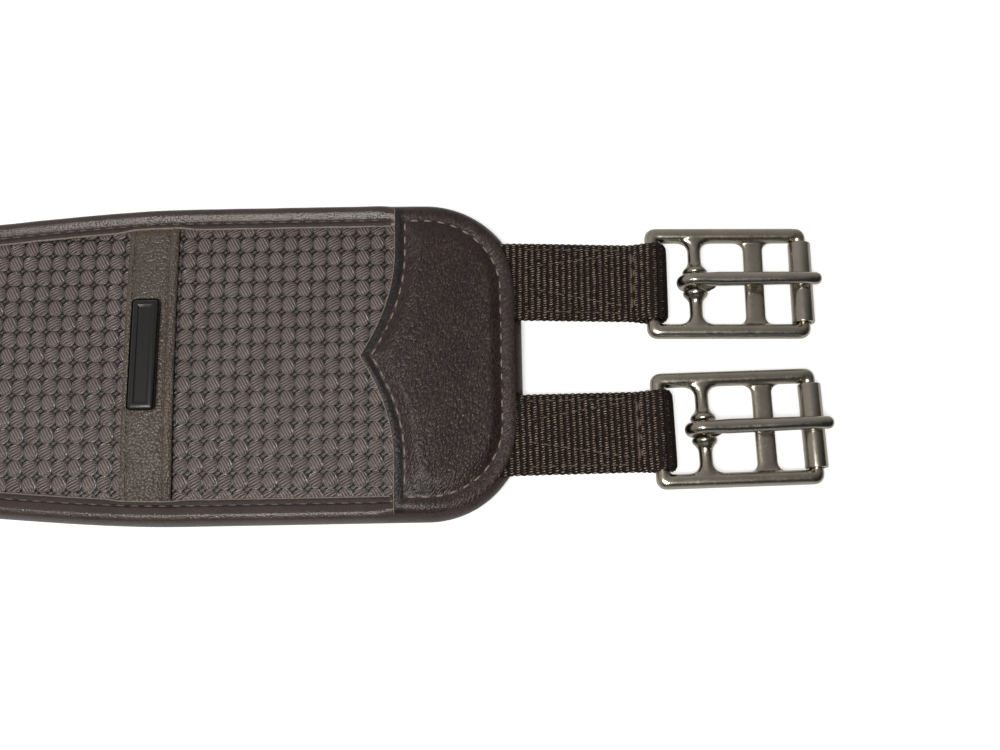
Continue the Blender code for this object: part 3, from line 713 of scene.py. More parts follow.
def weave_at(x, y):
    """Height of the weave from 0 to 1 and whether a crosswise pillow is on top, at a point of the face."""
    i, j = math.floor(x / WEAVE_X), math.floor(y / WEAVE_Y)
    # Where four pillows meet, the strand below shows as a small knob
    corner = math.hypot(x - round(x / WEAVE_X) * WEAVE_X, y - round(y / WEAVE_Y) * WEAVE_Y)
    top = KNOB_HEIGHT * max(0.0, 1 - (corner / KNOB_RADIUS) ** 2)
    over = 0.0
    for column in (i - 1, i, i + 1):
        for row in (j - 1, j, j + 1):
            crosswise = (column + row) % 2
            half_x, half_y = PILLOW_CROSSWISE if crosswise else PILLOW_LENGTHWISE
            a = abs(x - (column + 0.5) * WEAVE_X) / half_x
            b = abs(y - (row + 0.5) * WEAVE_Y) / half_y
            if a < 1 and b < 1:
                square = a ** PILLOW_SQUARENESS + b ** PILLOW_SQUARENESS
                height = max(0.0, 1 - square) ** PILLOW_ROUNDING
                if height > top:
                    top, over = height, float(crosswise)
    return top, over


def woven_face():
    """Face sheet with its basket weave moulded in, its edges tucked under the rolled edge and the tabs."""
    columns, rows = 692, 140
    column_pitch, row_pitch = WEAVE_X / 9, WEAVE_Y / 8

    def place(i, j):
        x = min(FACE_END, max(-FACE_END, (i - columns / 2) * column_pitch))
        reach = side_half(x) - EDGE_TURN + 1.0
        # Rows keep step with the weave up to a margin and share out what is left of the width
        knee = reach - 3.0
        row = j - rows / 2
        past = (abs(row) - knee / row_pitch) / (rows / 2 - knee / row_pitch)
        y = math.copysign(mix(knee, reach, past), row) if past > 0 else row * row_pitch
        height = weave_at(x, y)[0]
        edge = ease((side_half(x) - abs(y) - EDGE_TURN) / 2.0)
        return x, y, face_height(x, y) - WEAVE_RELIEF * mix(0.65, 1 - height, edge) + 0.15

    piece = grid_piece("woven_face", columns, rows, place)
    heights = piece.data.attributes.new("weave_height", "FLOAT", "POINT")
    over = piece.data.attributes.new("weave_over", "FLOAT", "POINT")
    for k, vertex in enumerate(piece.data.vertices):
        heights.data[k].value, over.data[k].value = weave_at(vertex.co.x / MM, vertex.co.y / MM)
    # Its edges are drawn down and its back is closed with one flat face
    edit(piece)
    bpy.ops.mesh.select_mode(type="EDGE")
    bpy.ops.mesh.select_all(action="DESELECT")
    bpy.ops.mesh.select_non_manifold()
    bpy.ops.mesh.extrude_edges_move()
    in_mode("OBJECT")
    for vertex in piece.data.vertices:
        if vertex.select:
            vertex.co.z = FACE_BACK * MM
    in_mode("EDIT")
    bpy.ops.mesh.edge_face_add()
    in_mode("OBJECT")
    face_outward(piece)
    smooth(piece, 70)
    dress(piece, WEAVE, "girth", "face", "face_panel")


# Stitching


def stitch():
    """One visible stitch along X: a short plump thread that dips into its holes."""
    deselect()
    bpy.ops.mesh.primitive_uv_sphere_add(segments=8, ring_count=8, radius=1.0)
    piece = bpy.context.object
    for vertex in piece.data.vertices:
        x, y, z = vertex.co.z, vertex.co.x, vertex.co.y
        size = (x * STITCH_LENGTH / 2, y * STITCH_WIDTH / 2, (z - x * x) * STITCH_HEIGHT / 2)
        vertex.co = Vector(size) * MM
    return piece


def seam(name, points, thread, slot, pitch=STITCH_PITCH, scale=1.0):
    """A run of stitches bent along a line of points in millimetres."""
    path = bpy.data.curves.new(name + "_path", "CURVE")
    path.dimensions = "3D"
    path.twist_mode = "Z_UP"
    spline = path.splines.new("POLY")
    spline.points.add(len(points) - 1)
    for point, place in zip(spline.points, points):
        point.co = (*(Vector(place) * MM), 1.0)
    guide = bpy.data.objects.new(name + "_path", path)
    bpy.context.collection.objects.link(guide)
    piece = stitch()
    piece.name = name
    piece.data.name = name
    piece.data.transform(Matrix.Diagonal((scale, scale, scale, 1.0)))
    piece.data.transform(Matrix.Translation((pitch * MM / 2, 0, 0)))
    length = sum((Vector(b) - Vector(a)).length for a, b in zip(points, points[1:]))
    modify(
        piece,
        "repeat",
        "ARRAY",
        count=int(length / pitch),
        use_relative_offset=False,
        use_constant_offset=True,
        constant_offset_displace=(pitch * MM, 0, 0),
    )
    modify(piece, "follow", "CURVE", object=guide)
    apply_all(piece)
    bpy.data.objects.remove(guide, do_unlink=True)
    smooth(piece, 80)
    dress(piece, thread, "girth", slot)


def edge_seams():
    """Stitches that hold the rolled edge down, along both long sides between the tabs."""
    for side, label in ((1, "rear"), (-1, "front")):
        line = []
        for i in range(161):
            x = mix(-SEAM_END, SEAM_END, i / 160)
            line.append((x, side * (side_half(x) - SEAM_INSET), SEAM_HEIGHT))
        seam(label + "_edge_seam", line, DARK_THREAD, "lining")


# End tabs


def seam_inset(x, y):
    """How far inside the panel's outline a tab's stitch line runs: more along the sides than at the end."""
    past_x, past_y = abs(x) - CORNER_X, abs(y) - CORNER_Y
    share = 0.0 if past_x <= 0 else 1.0 if past_y <= 0 else math.atan2(past_x, past_y) / (math.pi / 2)
    return mix(TAB_SEAM_SIDE, TAB_SEAM_END, ease(share))


def inside_seam(x, y):
    """Distance of a point inside the tab's stitch line."""
    return min(inset_at(x, y) - seam_inset(x, y), x - tab_inner(y) - TAB_SEAM_INNER)


def tab_seam_line():
    """The tab's stitch line: in along the cusped edge and round beside the panel's outline."""
    start_x = PANEL_END - TAB_SIDE_LENGTH + TAB_SEAM_INNER
    start_y = half_width(start_x, TAB_SEAM_SIDE)
    inner = []
    for i in range(81):
        y = mix(start_y, -start_y, i / 80)
        slope = (tab_inner(y + 0.2) - tab_inner(y - 0.2)) / 0.4
        inner.append(Vector((tab_inner(y) + TAB_SEAM_INNER * math.sqrt(1 + slope * slope * 0.5), y, 0)))
    outer = []
    for i in range(11):
        x = mix(start_x, CORNER_X, i / 10)
        outer.append(Vector((x, -half_width(x, TAB_SEAM_SIDE), 0)))
    for i in range(1, 31):
        angle = math.radians(-90 + 3 * i)
        radius = CORNER_RADIUS - mix(TAB_SEAM_SIDE, TAB_SEAM_END, ease(i / 30))
        outer.append(Vector((CORNER_X + radius * math.cos(angle), -CORNER_Y + radius * math.sin(angle), 0)))
    outer += [Vector((p.x, -p.y, 0)) for p in reversed(outer)]
    return inner, outer


def tab_top(x, y):
    """Top of a tab before it is filled out, its cut edges eased."""
    edge = min(inset_at(x, y) - TAB_MARGIN, x - tab_inner(y))
    worn = max(0.0, 1 - max(0.0, edge) / 1.3)
    drawn_in = max(0.0, 1 - abs(inside_seam(x, y)) / 2.4) ** 1.5
    return tab_underside(x, y) + TAB_THICKNESS - 0.35 * worn * worn - 0.45 * drawn_in


def end_tabs():
    """Leather tabs over the panel's ends, filled out inside their stitch line by a cloth simulation."""
    columns, rows = 116, 52
    cut_strip, hole_reach, pinned_to = 0.012, 0.894, 0.3
    tab_end = PANEL_END - TAB_MARGIN
    side_y = half_width(PANEL_END - TAB_SIDE_LENGTH, TAB_MARGIN)

    def place(i, j):
        across = 2 * i / columns - 1
        # The first row is a narrow strip that shows the cut edge
        share = 0.0 if j == 0 else mix(cut_strip, 1.0, (j - 1) / (rows - 1))
        x = mix(tab_inner(across * side_y), tab_end, share)
        y = across * half_width(x, TAB_MARGIN)
        return x, y, tab_top(x, y)

    piece = grid_piece("right_tab", columns, rows, place)
    inner, outer = tab_seam_line()
    holes = [p for line in (inner, outer) for p, _ in along_line(line, STITCH_PITCH)]
    rest = [vertex.co.copy() for vertex in piece.data.vertices]
    pins = []
    for k, co in enumerate(rest):
        x, y = co.x / MM, co.y / MM
        near_hole = min(math.hypot(p.x - x, p.y - y) for p in holes) < hole_reach
        if inside_seam(x, y) < pinned_to or near_hole:
            pins.append(k)
    fill_out(piece, rest, pins)
    face_outward(piece)
    if sum(polygon.normal.z for polygon in piece.data.polygons) < 0:
        piece.data.flip_normals()
    modify(piece, "finer", "SUBSURF", levels=1, render_levels=1)
    thickness = 0.8 * TAB_THICKNESS * MM
    modify(piece, "thick", "SOLIDIFY", thickness=thickness, offset=-1.0, material_offset_rim=1)
    apply_all(piece)
    smooth(piece, 50)
    # Painted shade: marks the strip outside the inner stitch line, which the tab material draws darker
    painted_cusp_shade = piece.data.attributes.new("painted_cusp_shade", "FLOAT", "POINT")
    filled = piece.data.attributes.new("filled", "FLOAT", "POINT")
    for k, vertex in enumerate(piece.data.vertices):
        x, y = vertex.co.x / MM, vertex.co.y / MM
        painted_cusp_shade.data[k].value = ease((TAB_SEAM_INNER - x + tab_inner(y)) / 0.8)
        filled.data[k].value = ease(inside_seam(x, y) / 2.0)
    left = copy_of(piece, "left_tab", Matrix.Diagonal((-1, 1, 1, 1)))
    for tab, node in ((piece, "right_end_tab"), (left, "left_end_tab")):
        cut = [abs(p.center.x) / MM - tab_inner(p.center.y / MM) < 0.3 for p in tab.data.polygons]
        dress(tab, [TAB, EDGE], "girth", "tab_leather", node)
        for polygon, is_cut in zip(tab.data.polygons, cut):
            polygon.material_index = int(is_cut)
    for label, turn in (("right", 1), ("left", -1)):
        for part, line in (("cusp", inner), ("round", outer)):
            run = [(turn * p.x, p.y, tab_top(p.x, p.y) + 0.12) for p in line]
            seam(f"{label}_tab_{part}_seam", run, PALE_THREAD, "tab_leather")


def fill_out(piece, rest, pins):
    """Lets the loose middle of a sewn sheet rise on its filling, held at the pinned points."""
    scene = bpy.context.scene
    group = piece.vertex_groups.new(name="sewn")
    group.add(pins, 1.0, "REPLACE")
    cloth = modify(piece, "filling", "CLOTH")
    leather = cloth.settings
    leather.quality = 8
    leather.mass = 0.3
    leather.tension_stiffness = 4
    leather.compression_stiffness = 4
    leather.shear_stiffness = 3
    leather.bending_stiffness = 4
    leather.vertex_group_mass = group.name
    gravity = scene.gravity.copy()
    lift, steps = 60.0, 25
    scene.gravity = (0, 0, lift)
    for step in range(1, steps + 1):
        scene.frame_set(step)
    risen = piece.evaluated_get(bpy.context.evaluated_depsgraph_get()).data
    moved = [vertex.co.copy() for vertex in risen.vertices]
    piece.modifiers.remove(cloth)
    scene.frame_set(1)
    scene.gravity = gravity
    limit = TAB_PUFF * 1.2 * MM
    for vertex, start, end in zip(piece.data.vertices, rest, moved):
        way = end - start
        vertex.co = start + way * (1 if way.length <= limit else limit / way.length)


# Cross band and plate


def cross_band():
    """Pebbled band across the weave: a turned and stitched strip along each edge."""
    half, seam_reach = BAND_HALF, 40.5
    columns, rows = 64, 120
    profile = smooth_line(
        [
            (-half - 0.1, -0.9, 0), (-half, 0.4, 0), (-half + 0.25, 0.95, 0), (-half + 0.9, 1.2, 0),
            (-half + 1.6, 1.15, 0), (-half + 2.1, 0.85, 0), (-half + 2.6, 1.05, 0), (-half + 5.0, 1.25, 0),
            (0.0, 1.3, 0), (half - 5.4, 1.25, 0), (half - 3.5, 1.1, 0), (half - 3.0, 0.88, 0),
            (half - 2.4, 1.25, 0), (half - 1.6, 1.45, 0), (half - 0.7, 1.3, 0), (half, 0.85, 0),
            (half - 0.05, 0.3, 0), (half - 0.6, -0.2, 0),
        ],
        columns,
    )

    def place(i, j):
        d, z = profile[i].x, profile[i].y
        x = BAND_X + d
        reach = side_half(x) - EDGE_TURN + 0.8
        y = mix(-reach, reach, j / rows)
        ripple = 0.1 * noise.noise((d / 3.0, y / 6.0, 4.0)) if 0 < i < columns else 0.0
        sway = 0.12 * noise.noise((2.0, y / 14.0, d * 0.02)) - BAND_LEAN * y
        tucked = 0.75 * ease((abs(y) - reach + 2.2) / 2.0)
        return x + sway, y, face_height(x, y) + z + ripple - tucked

    piece = grid_piece("stitched_band", columns, rows, place)
    modify(piece, "thick", "SOLIDIFY", thickness=0.5 * MM, offset=-1.0)
    apply_all(piece)
    face_outward(piece)
    smooth(piece, 60)
    dress(piece, BAND, "girth", "band", "cross_band")
    for label, d, z in (("inner", -half + 2.1, 0.88), ("outer", half - 3.0, 0.9)):
        line = []
        for i in range(61):
            y = mix(-seam_reach, seam_reach, i / 60)
            line.append((BAND_X + d - BAND_LEAN * y, y, face_height(BAND_X + d, y) + z))
        seam(f"band_{label}_seam", line, DARK_THREAD, "band", pitch=2.6, scale=0.62)


def bare_plate():
    """Small plate on the band: a bright bevelled rim round a plain sunk black face."""
    low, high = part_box("band_plate")
    centre = (Vector(low) + Vector(high)) / 2
    size = Vector(high) - Vector(low)
    deselect()
    bpy.ops.mesh.primitive_cube_add(size=1.0, location=centre)
    piece = bpy.context.object
    piece.name = piece.data.name = "bare_plate"
    piece.scale = size
    bpy.ops.object.transform_apply(location=True, rotation=True, scale=True)
    edit(piece)
    bpy.ops.mesh.select_mode(type="EDGE")
    in_mode("OBJECT")
    for edge in piece.data.edges:
        a, b = (piece.data.vertices[k].co for k in edge.vertices)
        edge.select = abs(a.z - b.z) > 0.5 * size.z
    in_mode("EDIT")
    bpy.ops.mesh.bevel(offset=1.4 * MM, segments=8, affect="EDGES")
    bpy.ops.mesh.select_mode(type="FACE")
    bpy.ops.mesh.select_all(action="DESELECT")
    in_mode("OBJECT")
    top = max(piece.data.polygons, key=lambda polygon: polygon.center.z)
    top.select = True
    in_mode("EDIT")
    for width, drop in ((0.35, 0.0), (0.3, 0.0), (0.25, -0.3), (0.3, 0.0)):
        bpy.ops.mesh.inset(thickness=width * MM, depth=drop * MM)
    in_mode("OBJECT")
    sharp = math.radians(30)
    modify(
        piece, "soft edges", "BEVEL", width=0.28 * MM, segments=3, limit_method="ANGLE", angle_limit=sharp
    )
    apply_all(piece)
    dress(piece, [RIM_STEEL, ENAMEL], "girth", "plate", "band_plate")
    rim = 0.8 * MM
    inside_x, inside_y = size.x / 2 - rim, size.y / 2 - rim
    for polygon in piece.data.polygons:
        c = polygon.center - centre
        sunk = abs(c.x) < inside_x and abs(c.y) < inside_y and c.z > 0
        polygon.material_index = int(sunk or c.z < 0.25 * size.z)
    smooth(piece, 35)


# Webbing


def strap_line():
    """Middle line of a strap's visible end, from under the tab round the buckle's bar and back."""
    centre = PANEL_END + STRAP_REACH
    part = (STRAP_HIGH - STRAP_LOW) / 2
    away = math.hypot(LOOP_THROAT, part)
    leave = math.pi - math.atan2(part, LOOP_THROAT) - math.acos(LOOP_RADIUS / away)
    line = [(STRAP_INSIDE, STRAP_LOW), (PANEL_END - 2, STRAP_LOW), (PANEL_END + 8, STRAP_LOW - 0.35)]
    line += [(centre - LOOP_THROAT - 8, BUCKLE_Z - part + 0.35), (centre - LOOP_THROAT, BUCKLE_Z - part)]
    for i in range(25):
        angle = mix(-leave, leave, i / 24)
        line.append((centre + LOOP_RADIUS * math.cos(angle), BUCKLE_Z + LOOP_RADIUS * math.sin(angle)))
    line += [(centre - LOOP_THROAT, BUCKLE_Z + part), (centre - LOOP_THROAT - 8, BUCKLE_Z + part + 0.35)]
    line += [(PANEL_END + 8, STRAP_HIGH - 0.35), (PANEL_END - 2, STRAP_HIGH), (STRAP_INSIDE, STRAP_HIGH)]
    return [Vector((x, 0, z)) for x, z in line]


def strap_matrix(end, side):
    """Turns the photographed end's straight strap into one of the four toed-in ends."""
    pivot = Matrix.Translation((PANEL_END, 0, 0))
    turned = pivot @ Matrix.Rotation(-side * STRAP_TOE, 4, "Z") @ pivot.inverted()
    placed = Matrix.Translation((0, side * STRAP_Y, 0)) @ turned
    mirror = Matrix.Diagonal((end, 1, 1, 1))
    return mirror @ placed


def webbing_rings():
    """Rings of the webbing's section along its line: ribs across it and an edge that bulges with each rib."""
    pitch = RIB_PITCH / 7
    spots = along_line(strap_line(), pitch)
    turn = spots[-1][1] / 2
    rings = []
    lengths = []
    half = STRAP_WIDTH / 2
    for k, (point, length) in enumerate(spots):
        before = spots[max(k - 1, 0)][0]
        after = spots[min(k + 1, len(spots) - 1)][0]
        along = (after - before).normalized()
        out = Vector((along.z, 0, -along.x))
        length -= turn
        crest = abs(math.cos(math.pi * length / RIB_PITCH))
        thick = STRAP_THICKNESS / 2 * (0.66 + 0.34 * crest ** 0.6)
        wide = half - 0.38 * (1 - crest ** 0.7)
        ring = []
        for face in (1, -1):
            for i in range(21):
                share = -1 + i / 10
                across = share * wide * face
                close = 1 - abs(share) ** 14
                ring.append(point + out * thick * face * close ** 0.5 + Vector((0, across, 0)))
            ring.pop()
        rings.append(ring)
        lengths.append(length)
    return rings, lengths


def webbing():
    """Four visible ends of the two straps."""
    rings, lengths = webbing_rings()
    template = loft_piece("webbing", rings)
    layer = template.data.uv_layers.active
    steps = len(rings) - 1
    around = len(rings[0])
    for polygon in template.data.polygons:
        for loop in polygon.loop_indices:
            u, v = layer.data[loop].uv
            k = round(u * steps)
            j = v * around
            across = j / (around / 2) if j <= around / 2 else 2 - j / (around / 2)
            layer.data[loop].uv = (lengths[k], across * STRAP_WIDTH)
    smooth(template, 60)
    for side, label in ((1, "rear"), (-1, "front")):
        for end, end_label in ((1, "right"), (-1, "left")):
            matrix = strap_matrix(end, side)
            metres = matrix.copy()
            metres.translation *= MM
            piece = copy_of(template, f"{end_label}_{label}_webbing", metres)
            nodes = [f"{label}_strap"] if end == 1 else []
            dress(piece, WEBBING, "girth", "webbing", *nodes)
            strap_seams(f"{end_label}_{label}", matrix)
    bpy.data.objects.remove(template, do_unlink=True)


def strap_top(x):
    """Height of the upper layer of the fold at x."""
    throat = PANEL_END + STRAP_REACH - LOOP_THROAT
    share = ease((x - PANEL_END + 2) / (throat - PANEL_END + 2))
    return mix(STRAP_HIGH, BUCKLE_Z + (STRAP_HIGH - STRAP_LOW) / 2, share) + STRAP_THICKNESS / 2


def strap_seams(label, matrix):
    """Stitching of the fold: a line along each edge, two slanting lines and a double bar by the buckle."""
    runs = (
        ("upper", (1.0, 10.1), (35.0, 10.3), 3.1, 0.72),
        ("lower", (1.0, -10.1), (35.0, -10.3), 3.1, 0.72),
        ("rising", (2.0, 4.2), (34.0, 9.6), 3.1, 0.72),
        ("falling", (2.0, -2.6), (35.0, -8.4), 3.1, 0.72),
        ("bar", (35.0, 10.0), (35.0, -9.4), 4.8, 1.4),
        ("second_bar", (35.9, 10.0), (35.9, -9.4), 4.8, 1.4),
    )
    for name, first, last, pitch, scale in runs:
        line = []
        for i in range(41):
            past_panel, y = (mix(first[k], last[k], i / 40) for k in (0, 1))
            x = PANEL_END + past_panel
            line.append(matrix @ Vector((x, y, strap_top(x) + 0.16)))
        seam(f"{label}_{name}_stitching", line, STRAP_THREAD, "webbing", pitch, scale)


# Buckles


def oval(centre, along, up, half_a, half_b, sides, power=2.0):
    """Ring of points on an oval or, with a higher power, on a rounded rectangle."""
    ring = []
    for i in range(sides):
        angle = 2 * math.pi * i / sides
        c, s = math.cos(angle), math.sin(angle)
        a = math.copysign(abs(c) ** (2 / power), c) * half_a
        b = math.copysign(abs(s) ** (2 / power), s) * half_b
        ring.append(centre + along * a + up * b)
    return ring


X, Y, Z = Vector((1, 0, 0)), Vector((0, 1, 0)), Vector((0, 0, 1))


def corner_reach(angle, side, rounding):
    """Distance from the middle of a bend to the outside of a corner with a given rounding."""
    c, s = abs(math.cos(angle)), abs(math.sin(angle))
    straight = side / max(c, s)
    middle = side - rounding
    if straight * min(c, s) <= middle:
        return straight
    return middle * (c + s) + math.sqrt(rounding ** 2 - (middle * (c - s)) ** 2)


def outer_bar():
    """The frame's outer bar: strap bar, rail, roller bar and rail in one ring with squarish corners."""
    bend = RAIL_WIDTH / 2 + 0.35
    rings = []
    for x, y, start, bar, into_rail in (
        (0.0, -RAIL_Y, 180, STRAP_BAR, True),
        (ROLLER_X, -RAIL_Y, 270, ROLLER_BAR, False),
        (ROLLER_X, RAIL_Y, 0, ROLLER_BAR, True),
        (0.0, RAIL_Y, 90, STRAP_BAR, False),
    ):
        centre = Vector((x - math.copysign(bend, x - 1), y - math.copysign(bend, y), 0))
        for i in range(19):
            angle = math.radians(start + 90 * i / 18)
            out = Vector((math.cos(angle), math.sin(angle), 0))
            rail = ease(i / 18 if into_rail else 1 - i / 18)
            width, height = mix(bar, RAIL_WIDTH, rail), mix(bar, RAIL_HEIGHT, rail)
            near, far = bend - width / 2, corner_reach(angle, bend + width / 2, CORNER_ROUNDING)
            middle = centre + (near + far) / 2 * out
            rings.append(oval(middle, out, Z, (far - near) / 2, height / 2, 36, mix(2.0, 2.3, rail)))
    return loft_piece("outer_bar", rings, closed_path=True)


def fillet(distance, radius):
    """How much a bar has spread at a distance from the rail that it runs into."""
    t = min(1.0, max(0.0, 1 - distance / radius))
    return radius * (1 - math.sqrt(1 - t * t))


def tongue_bar():
    """Bar with a journal between two bulbous collars, spreading where it meets the rails."""
    journal = TONGUE_BAR / 2
    inner = TONGUE_WIRE / 2 + 0.3
    profile = [(0.0, journal, journal), (inner - 0.05, journal, journal)]
    bell = [
        (0.0, 0.62), (0.12, 0.83), (0.45, 0.96), (1.0, 1.0), (1.6, 0.96),
        (2.2, 0.84), (2.8, 0.69), (3.5, 0.58), (4.4, 0.53), (6.0, 0.52),
    ]
    for y, share in bell:
        profile.append((inner + y, share * COLLAR / 2, share * COLLAR / 2))
    thin = bell[-1][1] * COLLAR / 2
    for i in range(1, 17):
        y = mix(inner + bell[-1][0], INNER_HALF, i / 16)
        profile.append((y, thin + fillet(INNER_HALF - y, 3.2), mix(thin, RAIL_HEIGHT * 0.45, ease(i / 16))))
    profile.append((RAIL_Y, profile[-1][1], profile[-1][2]))
    stations = [(-y, a, b) for y, a, b in reversed(profile[1:])] + profile
    rings = [oval(Vector((TONGUE_BAR_X, y, 0)), X, Z, a, b, 36) for y, a, b in stations]
    return loft_piece("tongue_bar", rings)


def keeper_bar():
    """Flat bar set a little below the rails, with soft edges and spread ends."""
    rings = []
    for i in range(-40, 41):
        y = RAIL_Y * i / 40
        width = KEEPER_WIDTH / 2 + fillet(max(0.0, INNER_HALF - abs(y)), 2.6)
        rings.append(oval(Vector((KEEPER_X, y, KEEPER_Z)), X, Z, width, KEEPER_HEIGHT / 2, 36, 3.2))
    return loft_piece("keeper_bar", rings)


def buckle_frame():
    """Casting: the three bars joined, remeshed and smoothed so that every junction has its cast fillet."""
    frame_piece = outer_bar()
    for bar in (tongue_bar(), keeper_bar()):
        modify(frame_piece, bar.name, "BOOLEAN", operation="UNION", solver="EXACT", object=bar)
        apply_all(frame_piece)
        bpy.data.objects.remove(bar, do_unlink=True)
    modify(frame_piece, "cast skin", "REMESH", mode="VOXEL", voxel_size=0.3 * MM)
    modify(frame_piece, "cast fillets", "SMOOTH", factor=0.5, iterations=14)
    apply_all(frame_piece)
    smooth(frame_piece, 180)
    return frame_piece


def roller_tube():
    """Rolled tube with eased lips and the fine seam where its sheet closes."""
    outer, bore = ROLLER / 2, ROLLER / 2 - ROLLER_WALL
    lip = 0.35
    profile = [(-ROLLER_HALF, bore), (-ROLLER_HALF, outer - lip)]
    for i in range(1, 7):
        angle = math.radians(15 * i)
        profile.append((-ROLLER_HALF + lip * (1 - math.cos(angle)), outer - lip + lip * math.sin(angle)))
    profile += [(-y, r) for y, r in reversed(profile)]
    profile = [(-ROLLER_HALF + 0.01, bore)] + profile[1:-1] + [(ROLLER_HALF - 0.01, bore)]
    rings = []
    for y, radius in profile:
        ring = oval(Vector((ROLLER_X, y, 0)), X, Z, radius, radius, 64)
        if radius > bore + 0.2:
            ring[50] = ring[50].lerp(Vector((ROLLER_X, y, 0)), 0.06)
        rings.append(ring)
    piece = loft_piece("roller", rings, closed_path=True)
    smooth(piece, 40)
    return piece


def tongue():
    """Forged tongue: a round wire from its blunt tip to a flattened eye, hooked under into a thin tail."""
    journal = TONGUE_BAR / 2 + 0.3
    tip, body, tail = TONGUE_TIP / 2, TONGUE_WIRE / 2, 0.85
    tip_x, roller_x = TONGUE_REACH - TONGUE_BAR_X, ROLLER_X - TONGUE_BAR_X
    rest_z = ROLLER / 2 + 0.3 + tip
    eye_z = journal + body
    points = [
        (tip_x, rest_z - 0.65, tip),
        (mix(tip_x, roller_x, 0.5), rest_z - 0.3, tip),
        (roller_x, rest_z, tip),
    ]
    for share in (0.2, 0.4, 0.6, 0.8):
        points.append((roller_x * (1 - share), mix(rest_z, eye_z, ease(share)), mix(tip, body, share)))
    for i in range(11):
        angle = math.pi / 2 + math.pi * i / 10
        wire = mix(body, tail, max(0.0, i / 10 - 0.25) / 0.75)
        points.append(((journal + wire) * math.cos(angle), (journal + wire) * math.sin(angle), wire))
    points += [(3.4, -journal - tail, tail), (7.2, -journal - 0.7 * tail, 0.6 * tail)]
    line = smooth_line(points, 120)
    rings = []
    for k, (x, z, wire) in enumerate(line):
        before, after = line[max(k - 1, 0)], line[min(k + 1, len(line) - 1)]
        along = Vector((after.x - before.x, 0, after.y - before.y)).normalized()
        out = Vector((along.z, 0, -along.x))
        flat = ease(-x / 3.0) if z < eye_z else 0.0
        wide = mix(wire, max(wire, TONGUE_EYE_HALF), flat)
        if z < 0:
            wide = max(wire, TONGUE_EYE_HALF * (1 - ease((x - 2.5) / 8.0)))
        elif x > 2.0:
            wide = wire * mix(1.0, TONGUE_BREADTH, ease((x - 2.0) / 6.0))
        start, finish = k / 5, (len(line) - 1 - k) / 5
        blunt = 1.0
        for near in (start, finish):
            if near < 1:
                blunt = math.sqrt(max(0.02, 1 - (1 - near) ** 2))
        centre = Vector((TONGUE_BAR_X + x, 0, z))
        rings.append(oval(centre, out, Y, wire * blunt, wide * blunt, 28))
    piece = loft_piece("tongue", rings)
    smooth(piece, 60)
    return piece


def buckles():
    """Four buckles, each piece modelled once and set at the strap bars that the record gives."""
    templates = (
        (buckle_frame(), "_buckle", "_buckle_frame", CAST_STEEL, "cast_steel"),
        (roller_tube(), "_roller", "_roller", BRIGHT_STEEL, "bright_steel"),
        (tongue(), "_tongue", "_tongue", BRIGHT_STEEL, "bright_steel"),
    )
    joints = {joint["name"]: joint for joint in frame["record"]["behaviour"]["joints"]}
    for label in BUCKLES:
        swing = joints[label + "_buckle_swing"]
        across = -Vector(swing["axis"])
        outward = across.cross(Z)
        matrix = Matrix((outward, across, Z)).transposed().to_4x4()
        matrix.translation = Vector(swing["pos_m"])
        for template, body, node, steel, slot in templates:
            piece = copy_of(template, label + node + "_steel", matrix)
            dress(piece, steel, label + body, slot, label + node)
    for template, *_ in templates:
        bpy.data.objects.remove(template, do_unlink=True)


# Light, floor and camera


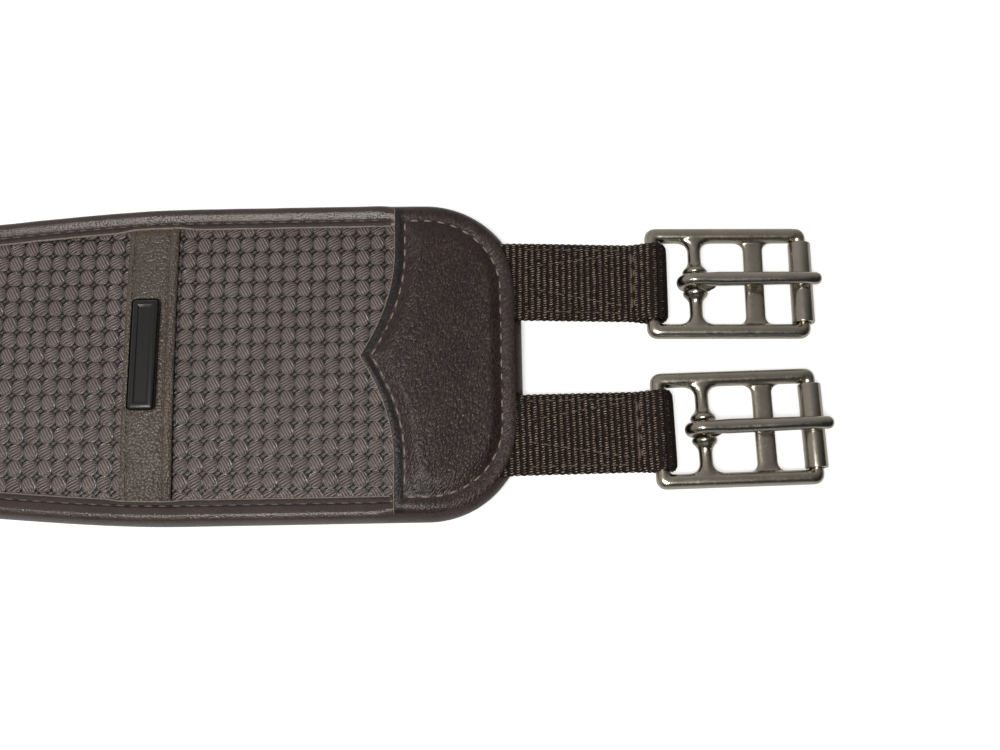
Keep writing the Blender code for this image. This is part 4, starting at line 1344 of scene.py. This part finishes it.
def studio():
    """White floor, a dim room that is brighter on one side, and two soft lamps."""
    scene = bpy.context.scene
    scene.view_settings.view_transform = "Standard"
    deselect()
    bpy.ops.mesh.primitive_plane_add(size=60.0, location=(0, 0, -0.0002))
    floor = bpy.context.object
    floor.name = floor.data.name = "floor"
    # White for the camera, pale in the steel, and greyer for the light that it throws back at the leather
    material, tree, shader = new_material("pale_floor", roughness=0.9, emission_color=(1, 1, 1, 1))
    ray = add_node(tree, "LightPath").outputs
    in_steel, glow = 0.15, 0.58
    seen = add_node(
        tree,
        "Math",
        {0: ray["Is Glossy Ray"], 1: in_steel, 2: ray["Is Camera Ray"]},
        operation="MULTIPLY_ADD",
    ).outputs[0]
    shown = add_node(tree, "Math", {0: seen, 1: glow}, operation="MULTIPLY").outputs[0]
    thrown = add_node(tree, "MapRange", {"Value": ray["Is Diffuse Ray"], "To Min": 0.6, "To Max": 0.1})
    feed(tree, shader, {"Base Color": thrown.outputs["Result"], "Emission Strength": shown})
    floor.data.materials.append(material)
    world = bpy.data.worlds.new("soft_room")
    scene.world = world
    world.use_nodes = True
    sky = world.node_tree
    direction = add_node(sky, "TexCoord").outputs["Generated"]
    # Brighter towards the panel's far end and ahead of the camera than behind it
    toward = add_node(
        sky, "VectorMath", {0: direction, 1: (-0.6, 0.8, 0.0)}, operation="DOT_PRODUCT"
    ).outputs["Value"]
    tone = add_node(
        sky,
        "MapRange",
        {"Value": toward, "From Min": -0.5, "From Max": 0.6, "To Min": 0.03, "To Max": 0.44},
    ).outputs["Result"]
    seen = add_node(sky, "LightPath").outputs["Is Camera Ray"]
    shown = add_node(sky, "Mix", {"Factor": seen, "A": tone, "B": 0.6})
    sky.nodes["Background"].inputs["Color"].default_value = (1.0, 1.0, 1.0, 1.0)
    sky.links.new(shown.outputs["Result"], sky.nodes["Background"].inputs["Strength"])
    # A soft lamp high on the camera's side and a cool window low behind the camera
    for name, place, size, power, tint in (
        ("room", (0.03, -0.26, 0.87), (0.4, 0.25), 7.6, (1.0, 0.98, 0.95)),
        ("window", (0.3, -0.95, 0.22), (0.6, 0.3), 0.3, (0.62, 0.8, 1.0)),
    ):
        lamp = bpy.data.lights.new(name, "AREA")
        lamp.energy = power
        lamp.color = tint
        lamp.shape = "RECTANGLE"
        lamp.size, lamp.size_y = size
        light = bpy.data.objects.new(name, lamp)
        light.location = place
        light.rotation_euler = (Vector((0.15, 0, 0)) - Vector(place)).to_track_quat("-Z", "Y").to_euler()
        bpy.context.collection.objects.link(light)


def photo_camera():
    """Camera at the photograph's view: nearly straight down on the buckle end, tilted from the front."""
    tilt, roll = math.radians(13.0), math.radians(1.05)
    distance = 0.345
    target = Vector((0.204, -0.0058, 0.0074))
    lens = bpy.data.cameras.new("camera")
    lens.sensor_width = 36.0
    lens.lens = 40.25
    camera = bpy.data.objects.new("camera", lens)
    place = target + distance * Vector((0, -math.sin(tilt), math.cos(tilt)))
    camera.matrix_world = (
        Matrix.Translation(place) @ Matrix.Rotation(tilt, 4, "X") @ Matrix.Rotation(-roll, 4, "Z")
    )
    bpy.context.collection.objects.link(camera)
    bpy.context.scene.camera = camera


photo_camera()
studio()
panel_lining()
woven_face()
edge_seams()
end_tabs()
cross_band()
bare_plate()
webbing()
buckles()
